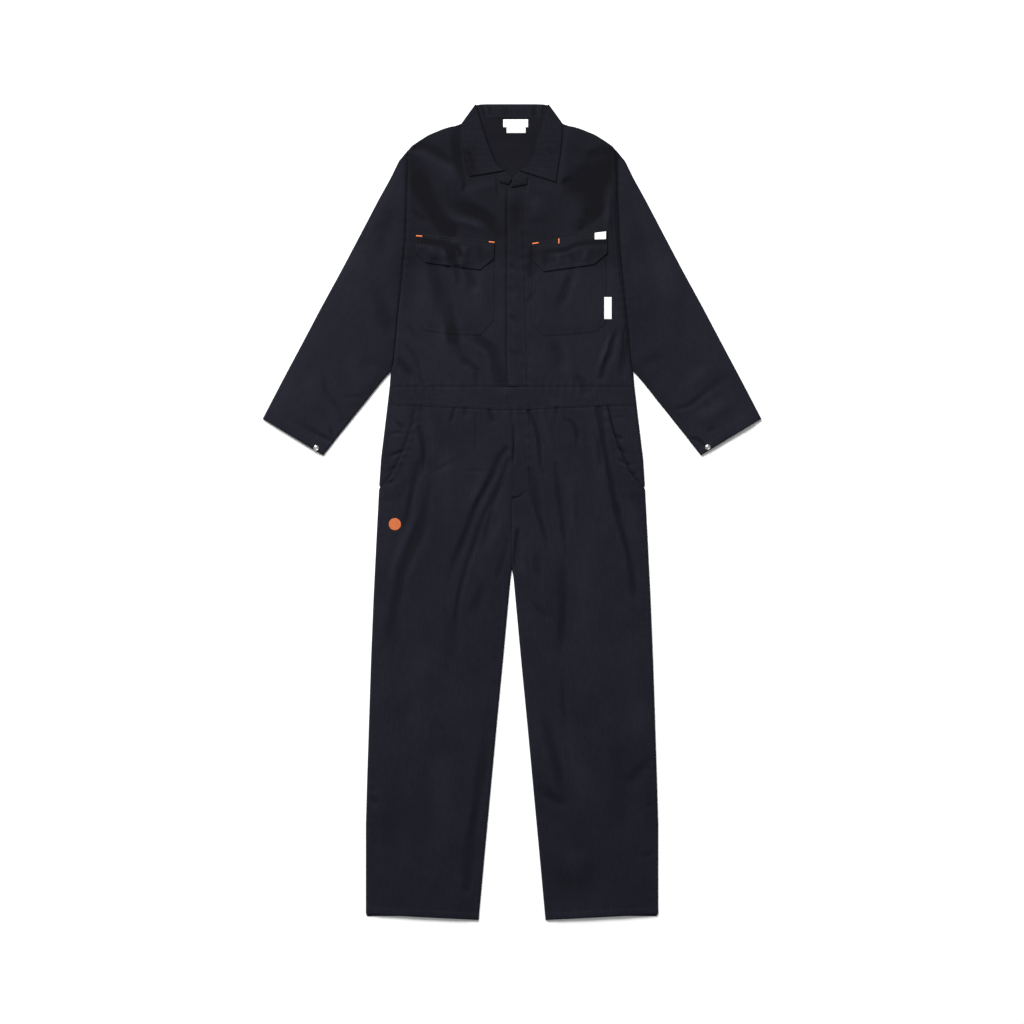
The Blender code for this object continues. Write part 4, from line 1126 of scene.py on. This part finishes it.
CollarRow = namedtuple("CollarRow", "roll_x roll_y leaf_x leaf_y seam_x seam_y turn lift")
COLLAR = [
    CollarRow(15, 700, 89.5, 682, 17, 699.5, 0, 0.3),
    CollarRow(22.5, 706, 93, 697, 28, 703, 0, 0.15),
    CollarRow(31, 715, 96.5, 716, 40, 709.5, 0, 0.0),
    CollarRow(38.5, 730, 99.5, 736, 53.5, 723, 0, 0.15),
    CollarRow(45.5, 747, 101.5, 753, 66, 741, 0, 0.8),
    CollarRow(52, 765, 102.8, 769, 76.5, 761, 0, 1.45),
    CollarRow(60, 790, 103.5, 783, 83, 784, 0, 1.6),
    CollarRow(67, 815, 103.4, 790, 85, 801, 0, 1.6),
    CollarRow(73, 833.6, 102.4, 793, 85.8, 811, 0, 1.6),
    CollarRow(73, 833.6, 102.4, 793, 85.8, 811, 45, 1.55),
    CollarRow(73, 833.6, 102.4, 793, 85.8, 811, 90, 1.5),
    CollarRow(73, 833.6, 102.4, 793, 85.8, 811, 135, 1.5),
    CollarRow(73, 833.6, 102.4, 793, 85.8, 811, 180, 1.5),
    CollarRow(64, 835.3, 88, 788, 76, 808.6, 180, 1.5),
    CollarRow(48, 835.7, 62, 786, 55, 807.6, 180, 1.5),
    CollarRow(24, 835.7, 30, 785, 27, 807.1, 180, 1.5),
    CollarRow(0, 835.7, 0, 784.6, 0, 807, 180, 1.5),
]
COLLAR_TIPS = {-1: (88, 688), 1: (91.5, 676)}
COLLAR_CREASES = [
    Crease(15, -1.7, 0.1, 0.5, [(-98, 752), (-93, 728), (-86, 706), (-80, 694)]),
    Crease(6, -0.6, 0.1, 0.1, [(-82, 760), (-76, 742), (-62, 722)]),
    Crease(7, 0.7, 0.1, 0.1, [(52, 702), (70, 697), (84, 694)]),
    Crease(7, -0.5, 0.1, 0.1, [(64, 742), (80, 738), (94, 742)]),
    Crease(4, -1.6, 0.6, 0.5, [(-66, 836), (-59, 822), (-56, 806)]),
    Crease(3, 0.9, 0.2, 0.2, [(-58, 834), (-52, 820), (-50, 808)]),
    Crease(3.5, -1.0, 0.5, 0.1, [(-50, 836), (-45, 824), (-44, 814)]),
    Crease(4, -1.6, 0.6, 0.4, [(47, 836), (44, 822), (45, 806)]),
    Crease(4, 0.9, 0.2, 0.2, [(56, 834), (54, 820), (52, 808)]),
    Crease(5, -1.5, 0.6, 0.5, [(66, 836), (64, 822), (62, 808)]),
    Crease(8, -0.5, 0.2, 0.2, [(-20, 836), (-14, 820), (-12, 806)]),
]
COLLAR_BETWEEN = 5
LEFT_ROLL_IN = 5.0
# Painted shade over the whole collar, and the width and depth of the painted shade under its roll on each
# side.
COLLAR_PAINTED_SHADE = 0.42
ROLL_SHADE = {-1: (3.4, 0.85), 1: (6.5, 1.0)}
LEAF_STEPS = 22


def collar_rows(side):
    """The collar's sections on one side, with even ones put between those of the table."""
    tip = COLLAR_TIPS[side]
    table = np.array([COLLAR[0]._replace(leaf_x=tip[0], leaf_y=tip[1])] + COLLAR[1:])
    places = np.linspace(0, len(table) - 1, (len(table) - 1) * COLLAR_BETWEEN + 1)
    columns = [np.interp(places, range(len(table)), table[:, column]) for column in range(8)]
    for column in (0, 1, 2, 3, 4, 5):
        smooth = columns[column].copy()
        smooth[1:-1] = (columns[column][:-2] + 2 * columns[column][1:-1] + columns[column][2:]) / 4
        columns[column] = smooth
    if side > 0:
        columns[0] -= LEFT_ROLL_IN * ease((columns[1] - 722) / 40) * ease((834 - columns[1]) / 14)
    return [CollarRow(*row) for row in np.array(columns).T]


def collar_section(row, side, place):
    """One closed section: the leaf's top from its edge, the roll, the stand to the seam, and home inside."""
    roll = np.array([side * row.roll_x, row.roll_y])
    leaf = np.array([side * row.leaf_x, row.leaf_y]) - roll
    seam = np.array([side * row.seam_x, row.seam_y]) - roll
    length = hypot(*leaf)
    along = leaf / length
    outward = np.array([side * abs(along[1]), abs(along[0])])
    angle = radians(row.turn)
    near, far = 0.15, 0.15 + CLOTH
    near_leaf = far + 0.35
    far_leaf = near_leaf + CLOTH
    nose, reach = (near + far_leaf) / 2, (far_leaf - near) / 2
    edge = np.array([0.0, 0.35, 0.9, 1.8, 3.0, 4.4, 5.6, 7.0])
    from_edge = np.concatenate([edge, np.linspace(7.0, length - 3.0, LEAF_STEPS)[1:]])
    flat_enough = ease((length - 14) / 20)
    dome = 0.55 * ease(from_edge / 7) * ease((length - from_edge) / 8) * (0.7 + 0.3 * sin(place * 1.7))
    facing_up = max(cos(angle), 0.0)
    top = far_leaf + facing_up * (dome * flat_enough + 0.35 * welt(from_edge)) - rim_drop(from_edge) * 0.9
    profile = [(leaf * (1 - gap / length), height) for gap, height in zip(from_edge, top)]
    for turn in np.linspace(pi / 2, -pi / 2, 9)[1:-1]:
        profile.append((along * (1.4 - 1.7 * cos(turn)), nose + reach * sin(turn)))
    seam_length = hypot(*seam)
    for share in np.linspace(0.18, 1, 7):
        profile.append((seam * share, near))
    for share in np.linspace(1, 0.2, 7):
        profile.append((seam * share + along * 0.4 * (1 - share), far))
    for share in np.linspace(0.12, 1, 8):
        profile.append((leaf * share, near_leaf))
    spots = roll + np.array([spot for spot, offset in profile])
    offsets = np.array([offset for spot, offset in profile])
    flat_places = spots + np.outer(offsets, outward * sin(angle))
    on_leaf = np.zeros(len(profile))
    on_leaf[: len(from_edge)] = facing_up
    from_roll, to_edge = np.zeros(len(profile)), np.full(len(profile), 99.0)
    from_roll[: len(from_edge)] = length - from_edge
    to_edge[: len(from_edge)] = from_edge
    folds = crease_sum(COLLAR_CREASES, *spots.T)
    z = LAYER - 0.15 + row.lift + cos(angle) * offsets + 0.12 * folds * on_leaf
    # Painted shade: the whole collar darker, deeper in its creases, under its roll and along its rows of
    # stitching.
    roll_width, roll_depth = ROLL_SHADE[side]
    rolled = facing_up * (1 - ease((from_roll - 1) / roll_width))
    shade_and_wear = fold_shade(1.9 * folds) - COLLAR_PAINTED_SHADE - roll_depth * rolled - 0.2 * row_groove(to_edge)
    return np.column_stack([flat_places, z, shade_and_wear])


def closed_ends(sheet):
    """Closes the open ends of a shell with flat faces."""
    rims = [edge for edge in sheet.edges if edge.is_boundary]
    bmesh.ops.holes_fill(sheet, edges=rims, sides=0)
    bmesh.ops.recalc_face_normals(sheet, faces=sheet.faces)


right_half = [collar_section(row, -1, place) for place, row in enumerate(collar_rows(-1))]
left_half = [collar_section(row, 1, place) for place, row in enumerate(collar_rows(1))]
sections = np.array(right_half + left_half[-2::-1])
band = tube(sections[:, :, :3], sections[:, :, 3])
closed_ends(band)
collar = finished("collar_cloth", band, navy_twill("twill_collar", radians(20)))
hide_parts("collar")

LAPEL_RIGHT = [(-26, 676.5), (-7, 671), (0.2, 682), (-13.5, 697.5), (-26.5, 694)]
LAPEL_LEFT = [(-3, 665), (32, 672), (31, 688), (15, 697.5), (1.0, 682)]


def lapel_own(x, y):
    """The lapels curl up a little at their feet."""
    return 0.5 + 1.1 * ease((692 - y) / 14), 0 * x


def half_down(x, y):
    """Held partly down all round."""
    return 0.6 + 0 * x


LAPEL_WALL = 1.0
sewn_on(
    "turned_lapel_right", LAPEL_RIGHT, lapel_own, half_down, ["lapel_right"],
    wall=LAPEL_WALL,
)
sewn_on(
    "turned_lapel_left", LAPEL_LEFT, lapel_own, half_down, ["lapel_left"],
    wall=LAPEL_WALL,
)

# ---- Topstitching ----
# Every seam and sewn-on edge is held by rows of lockstitch in navy thread. Each row is laid on the cloth
# under it, as short rounded stitches sunk a little into the twill.

STITCH_PITCH = 3.3
STITCH_LENGTH = 2.5
STITCH_HALF = 0.3
STITCH_BODY = 0.64
ABOVE = 60.0

cover = bmesh.new()
for piece in [item for item in scene.objects if item.type == "MESH" and item.name != "floor"]:
    if piece.active_material and piece.active_material.name.startswith("twill"):
        cover.from_mesh(piece.data)
cloth_top = BVHTree.FromBMesh(cover)
cover.free()


def top_at(x, y):
    """Height of the uppermost cloth at a place, in millimetres, or None beside the suit."""
    hit = cloth_top.ray_cast(Vector((x, y, ABOVE)) * MM, Vector((0, 0, -1)))
    return None if hit[0] is None else hit[0].z / MM


def thread_stitch(length, half, lift):
    """One stitch along X: six-sided, with tapered ends that dive into the cloth."""
    stitch = bmesh.new()
    bmesh.ops.create_cone(
        stitch, cap_ends=True, segments=6, radius1=half, radius2=half, depth=STITCH_BODY * length
    )
    bmesh.ops.rotate(stitch, cent=(0, 0, 0), matrix=Matrix.Rotation(pi / 2, 3, "Y"), verts=stitch.verts)
    bmesh.ops.scale(stitch, vec=(1, 1, 0.8), verts=stitch.verts)
    bmesh.ops.translate(stitch, vec=(0, 0, lift), verts=stitch.verts)
    ends = bmesh.ops.poke(stitch, faces=[face for face in stitch.faces if len(face.verts) == 6])
    for tip in ends["verts"]:
        tip.co = (copysign(length / 2, tip.co.x), 0, -0.1)
    bmesh.ops.recalc_face_normals(stitch, faces=stitch.faces)
    mesh = bpy.data.meshes.new("one_stitch")
    stitch.to_mesh(mesh)
    stitch.free()
    return mesh


def laid_stitches(into, one, spots):
    """Copies one stitch to each place, given as the stitch's middle and its two ends in plan."""
    for (ax, ay), (bx, by) in spots:
        start, end = top_at(ax, ay), top_at(bx, by)
        if start is None or end is None or abs(start - end) > 1.2:
            continue
        begin, finish = Vector((ax, ay, start)), Vector((bx, by, end))
        turn = (finish - begin).to_track_quat("X", "Z").to_matrix().to_4x4()
        before = len(into.verts)
        into.from_mesh(one)
        into.verts.ensure_lookup_table()
        copied = into.verts[before:]
        bmesh.ops.transform(into, matrix=Matrix.Translation((begin + finish) / 2) @ turn, verts=copied)


def row_spots(route, pitch=STITCH_PITCH, length=STITCH_LENGTH):
    """Ends of the stitches of a row, evenly spaced along a route of close points."""
    route = np.array(route, float)
    runs = np.concatenate([[0], np.cumsum(np.hypot(*np.diff(route, axis=0).T))])
    starts = np.arange(0.5, runs[-1] - length, pitch)
    firsts = [np.interp(starts, runs, route[:, axis]) for axis in (0, 1)]
    lasts = [np.interp(starts + length, runs, route[:, axis]) for axis in (0, 1)]
    return list(zip(zip(*firsts), zip(*lasts)))


def inset(outline, depth):
    """A convex outline with its sides moved inwards, closed on its first corner."""
    corners = [np.array(corner, float) for corner in outline]
    sides = []
    for start, end in zip(corners, corners[1:] + corners[:1]):
        run = (end - start) / np.linalg.norm(end - start)
        sides.append((start + depth * np.array([-run[1], run[0]]), run))
    ring = []
    for (point, run), (other, turn) in zip(sides[-1:] + sides[:-1], sides):
        cross = run[0] * turn[1] - run[1] * turn[0]
        reach = ((other[0] - point[0]) * turn[1] - (other[1] - point[1]) * turn[0]) / cross
        ring.append(point + reach * run)
    return ring + ring[:1]


def mirrored(route):
    """A route turned over to the other side."""
    return [(-x, y) for x, y in route]


def stitched(name, routes, pitch=STITCH_PITCH):
    """One joined object from rows of navy stitches."""
    joined = bmesh.new()
    for route in routes:
        laid_stitches(joined, navy_stitch, row_spots(route, pitch))
    return finished(name, joined, navy_thread)


thread_navy = (0.0125, 0.0128, 0.020, 1.0)
navy_thread = plain_finish("thread_navy", Base_Color=thread_navy, Roughness=0.6, Specular_IOR_Level=0.15)
navy_stitch = thread_stitch(STITCH_LENGTH, STITCH_HALF, 0.02)

# Two rows round the foot and sides of each pocket. The mouths have none, and the left one's outer side
# shows none.
pocket_rows = []
for outline, last in ((POCKET_RIGHT, 4), (POCKET_LEFT, 3)):
    rings = [inset(outline, depth) for depth in SEWN_ROWS]
    pocket_rows += [ring[: last + 1] for ring in rings]
    pocket_rows += [ring[5:] for ring in rings]
shown_rows = []
for route in pocket_rows:
    close = np.concatenate([np.linspace(start, end, 60) for start, end in zip(route, route[1:])])
    hidden = np.maximum(inside_edges(FLAP_RIGHT, *close.T), inside_edges(FLAP_LEFT, *close.T)) > -2
    if (~hidden).any():
        shown_rows.append(close[~hidden])
flap_rows = [inset(outline, depth) for outline in (FLAP_RIGHT, FLAP_LEFT) for depth in SEWN_ROWS]
stitched("stitches_pockets", shown_rows + flap_rows)

closing_rows = [[(-3, 262), (-3, 656)], [(29.0, 262), (19.2, 656)], [(23.5, 262), (14.5, 600)]]
closing_rows += [soft_route([(32, 206), (32, 62), (30, 50), (25, 38), (19, 14)], 3)]
closing_rows += [[(-1.8, 203), (-1.8, -104)], [(-7.2, 203), (-7.2, 20)]]
stitched("stitches_closing", closing_rows)

band_rows = [[(-252, WAIST_TOP - 2.2), (252, WAIST_TOP - 2.2)]]
band_rows += [[(-248, WAIST_TOP + 6.2), (248, WAIST_TOP + 6.2)]]
foot_line = [(x, float(waist_foot(x))) for x in np.linspace(-252, 252, 40)]
band_rows += [[(x, y + 2.2) for x, y in foot_line], [(x, y + 7.4) for x, y in foot_line]]
for side in (-1, 1):
    band_rows += [[(side * x, 233), (side * x, 255)] for x in (134, 139, 160, 166)]
    band_rows += [[(side * x, 262), (side * x, 281)] for x in (134, 139, 160, 166)]
stitched("stitches_waistband", band_rows)

mouth = soft_route([(x, y) for y, x in POCKET_MOUTH], 4)
outseam = [(x, y) for y, x in SIDE[1:]]
inseam = [(x, y) for y, x in INSEAM[2:]]
for word, side in SIDES:
    leg_rows = [[(x - depth, y) for x, y in mouth] for depth in (2.0, 7.8)]
    leg_rows += [[(x - depth, y) for x, y in outseam if y < 60] for depth in (2.6, 7.6)]
    leg_rows += [[(x + depth, y) for x, y in inseam] for depth in (2.6, 7.6)]
    leg_rows += [[(72, LEG_FOOT_IN + 13.6), (296, LEG_FOOT_OUT + 13.4)]]
    leg_rows += [[(262, 36), (214, 41), (214, 50)]] if side > 0 else []
    stitched(f"stitches_leg_{word}", [mirrored(route) if side < 0 else route for route in leg_rows])

CUFF_ROW = 7.4
armhole = soft_route([(x, y) for y, x in ARMHOLE[1:-1]], 5)
for word, side in SIDES:
    sleeve_rows = [[(x - 2.6, y) for x, y in armhole], [(x - 7.8, y) for x, y in armhole]]
    sleeve_rows += [list(zip(*sleeve_spot(1 - CUFF_ROW / cuff_run, np.array([0.04, 0.96]))))]
    sleeve_rows += [[(COLLAR_TIPS[side][0] - 5, COLLAR_TIPS[side][1] + 7), (98, 752), (98.4, 782)]]
    sleeve_rows += [[(COLLAR_TIPS[side][0] - 6, COLLAR_TIPS[side][1] + 7.4), (22, 704)]]
    stitched(f"stitches_upper_{word}", [mirrored(route) if side < 0 else route for route in sleeve_rows])
stitched("stitches_collar_stand", [[(-62, 829.4), (62, 829.4)], [(-72, 811), (72, 811)]])

# ---- Orange trims ----
# Bar tacks in orange thread hold the corners of the flaps, and a plain round spot is embroidered on the right
# thigh. Both are close rows of satin stitches.

thread_orange = (0.62, 0.165, 0.055, 1.0)
orange_thread = plain_finish("thread_orange", Base_Color=thread_orange, Roughness=0.5, Specular_IOR_Level=0.2)


def satin_bar(start, end, width):
    """Stitches laid side by side across a line, for a bar tack."""
    start, end = np.array(start, float), np.array(end, float)
    run = end - start
    length = np.linalg.norm(run)
    across = np.array([-run[1], run[0]]) / length * width / 2
    middles = [start + run * share for share in np.linspace(0, 1, int(length / 0.42) + 1)]
    return [(middle - across, middle + across) for middle in middles]


tacks = satin_bar((-196, 565.4), (-184, 564.6), 3.0) + satin_bar((-47, 553.4), (-36, 552.2), 3.0)
tacks += satin_bar((42, 549.6), (54, 551.6), 3.0) + satin_bar((96, 550), (96, 559.6), 2.8)
tack_bars = bmesh.new()
laid_stitches(tack_bars, thread_stitch(3.0, 0.34, 0.2), tacks)
finished("bar_tacks", tack_bars, orange_thread)

PATCH_MIDDLE = np.array([-240.0, -25.0])
PATCH_RADIUS = 12.5
SLANT = np.array([0.34, 0.94])
patch_spots = []
for number, off in enumerate(np.arange(-PATCH_RADIUS + 0.3, PATCH_RADIUS, 0.5)):
    reach = (PATCH_RADIUS**2 - off**2) ** 0.5
    starts = np.arange(-PATCH_RADIUS - 2.1 * (number % 3), PATCH_RADIUS, 6.3)
    for start in starts:
        begin, finish = max(start, -reach), min(start + 6.0, reach)
        if finish - begin > 1.0:
            line = PATCH_MIDDLE + np.array([SLANT[1], -SLANT[0]]) * off
            patch_spots.append((line + begin * SLANT, line + finish * SLANT))
patch = bmesh.new()
for start, end in patch_spots:
    laid_stitches(patch, thread_stitch(float(np.linalg.norm(end - start)), 0.33, 0.2), [(start, end)])
finished("thigh_patch", patch, orange_thread)

# ---- Labels ----
# Four small labels of white woven tape, left bare. Their ends are folded under.

tape_white = (0.80, 0.80, 0.78, 1.0)
label_cloth = plain_finish("woven_white", Base_Color=tape_white, Roughness=0.75, Specular_IOR_Level=0.15)
tape_place = shader_step(label_cloth, "TexCoord").outputs["Object"]
tape_rib = shader_step(label_cloth, "TexWave", tape_place, Scale=420.0, Distortion=0.4)
tape_rib.bands_direction = "Y"
tape_bump = shader_step(label_cloth, "Bump", tape_rib.outputs["Fac"], "Height", Strength=0.3, Distance=0.0001)
tape_shader = label_cloth.node_tree.nodes["Principled BSDF"]
label_cloth.node_tree.links.new(tape_bump.outputs["Normal"], tape_shader.inputs["Normal"])

LABEL_WALL = 0.5
LABEL_NECK = [(-18, 788.4), (33, 788.4), (33, 804.4), (-18, 804.4)]
LABEL_SIZE = [(-11, 776.6), (28, 776.6), (28, 788.1), (-11, 788.1)]
LABEL_FLAP = [(169.4, 557.8), (192.6, 558.4), (192.6, 574.4), (169.4, 571.6)]
LABEL_SIDE = [(189, 395), (204, 395), (204, 440), (189, 440)]


def label(name, outline, node):
    """A flat tape label on the cloth under it. Its face domes a little over its folded ends."""
    sheet = cut_sheet(outline, 2.2, [0.5, 1.2])
    spots = np.array([vert.co[:] for vert in sheet.verts])
    room = inside_edges(outline, spots[:, 0], spots[:, 1])
    heights = [top_at(x, y) for x, y, z in spots]
    steady = float(np.median(heights))
    for vert, height in zip(sheet.verts, heights):
        vert.co.z = max(height, steady - 0.6) + 0.1
    wall = LABEL_WALL * (1 - 0.5 * (1 - np.clip(room / 0.9, 0, 1)) ** 2)
    piece = finished(name, walled(sheet, wall, 0 * room), label_cloth)
    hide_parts(node)
    return piece


label("label_at_neck", LABEL_NECK, "neck_label")
label("label_of_size", LABEL_SIZE, "size_label")
label("label_on_flap", LABEL_FLAP, "flap_label")
label("label_at_side", LABEL_SIDE, "side_label")

# ---- Cuff snaps ----
# One round steel snap closes each cuff. Its spun cap has a rolled rim, a groove and a shallow dimple, and
# it is riveted through the sleeve's front.

SNAPS = {"right": (-401.0, 131.0), "left": (401.0, 133.0)}
SNAP_CAP = [(5.15, 0.0), (5.5, 0.3), (5.55, 0.75), (5.25, 1.15), (4.7, 1.35), (4.15, 1.25)]
SNAP_CAP += [(3.8, 1.0), (3.5, 1.05), (3.2, 1.5), (2.75, 1.95), (2.0, 2.2), (1.4, 2.15)]
SNAP_CAP += [(0.9, 1.95), (0.45, 1.85), (0.0, 1.83)]

steel = (0.62, 0.61, 0.59, 1.0)
snap_steel = plain_finish("steel_snap", Base_Color=steel, Metallic=1.0, Roughness=0.28)

for word, (snap_x, snap_y) in SNAPS.items():
    cap = bmesh.new()
    points = [cap.verts.new((radius, 0, height)) for radius, height in SNAP_CAP]
    edges = [cap.edges.new(pair) for pair in zip(points, points[1:])]
    bmesh.ops.spin(
        cap, geom=points + edges, cent=(0, 0, 0), axis=(0, 0, 1), angle=2 * pi, steps=48, use_merge=True
    )
    bmesh.ops.remove_doubles(cap, verts=cap.verts, dist=0.001)
    closed_ends(cap)
    seat = max(top_at(snap_x + 4 * cos(turn), snap_y + 4 * sin(turn)) for turn in (0, pi / 2, pi, 3 * pi / 2))
    bmesh.ops.translate(cap, vec=(snap_x, snap_y, seat - 0.25), verts=cap.verts)
    snap = finished(f"snap_{word}", cap, snap_steel)
    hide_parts(f"cuff_snap_{word}")
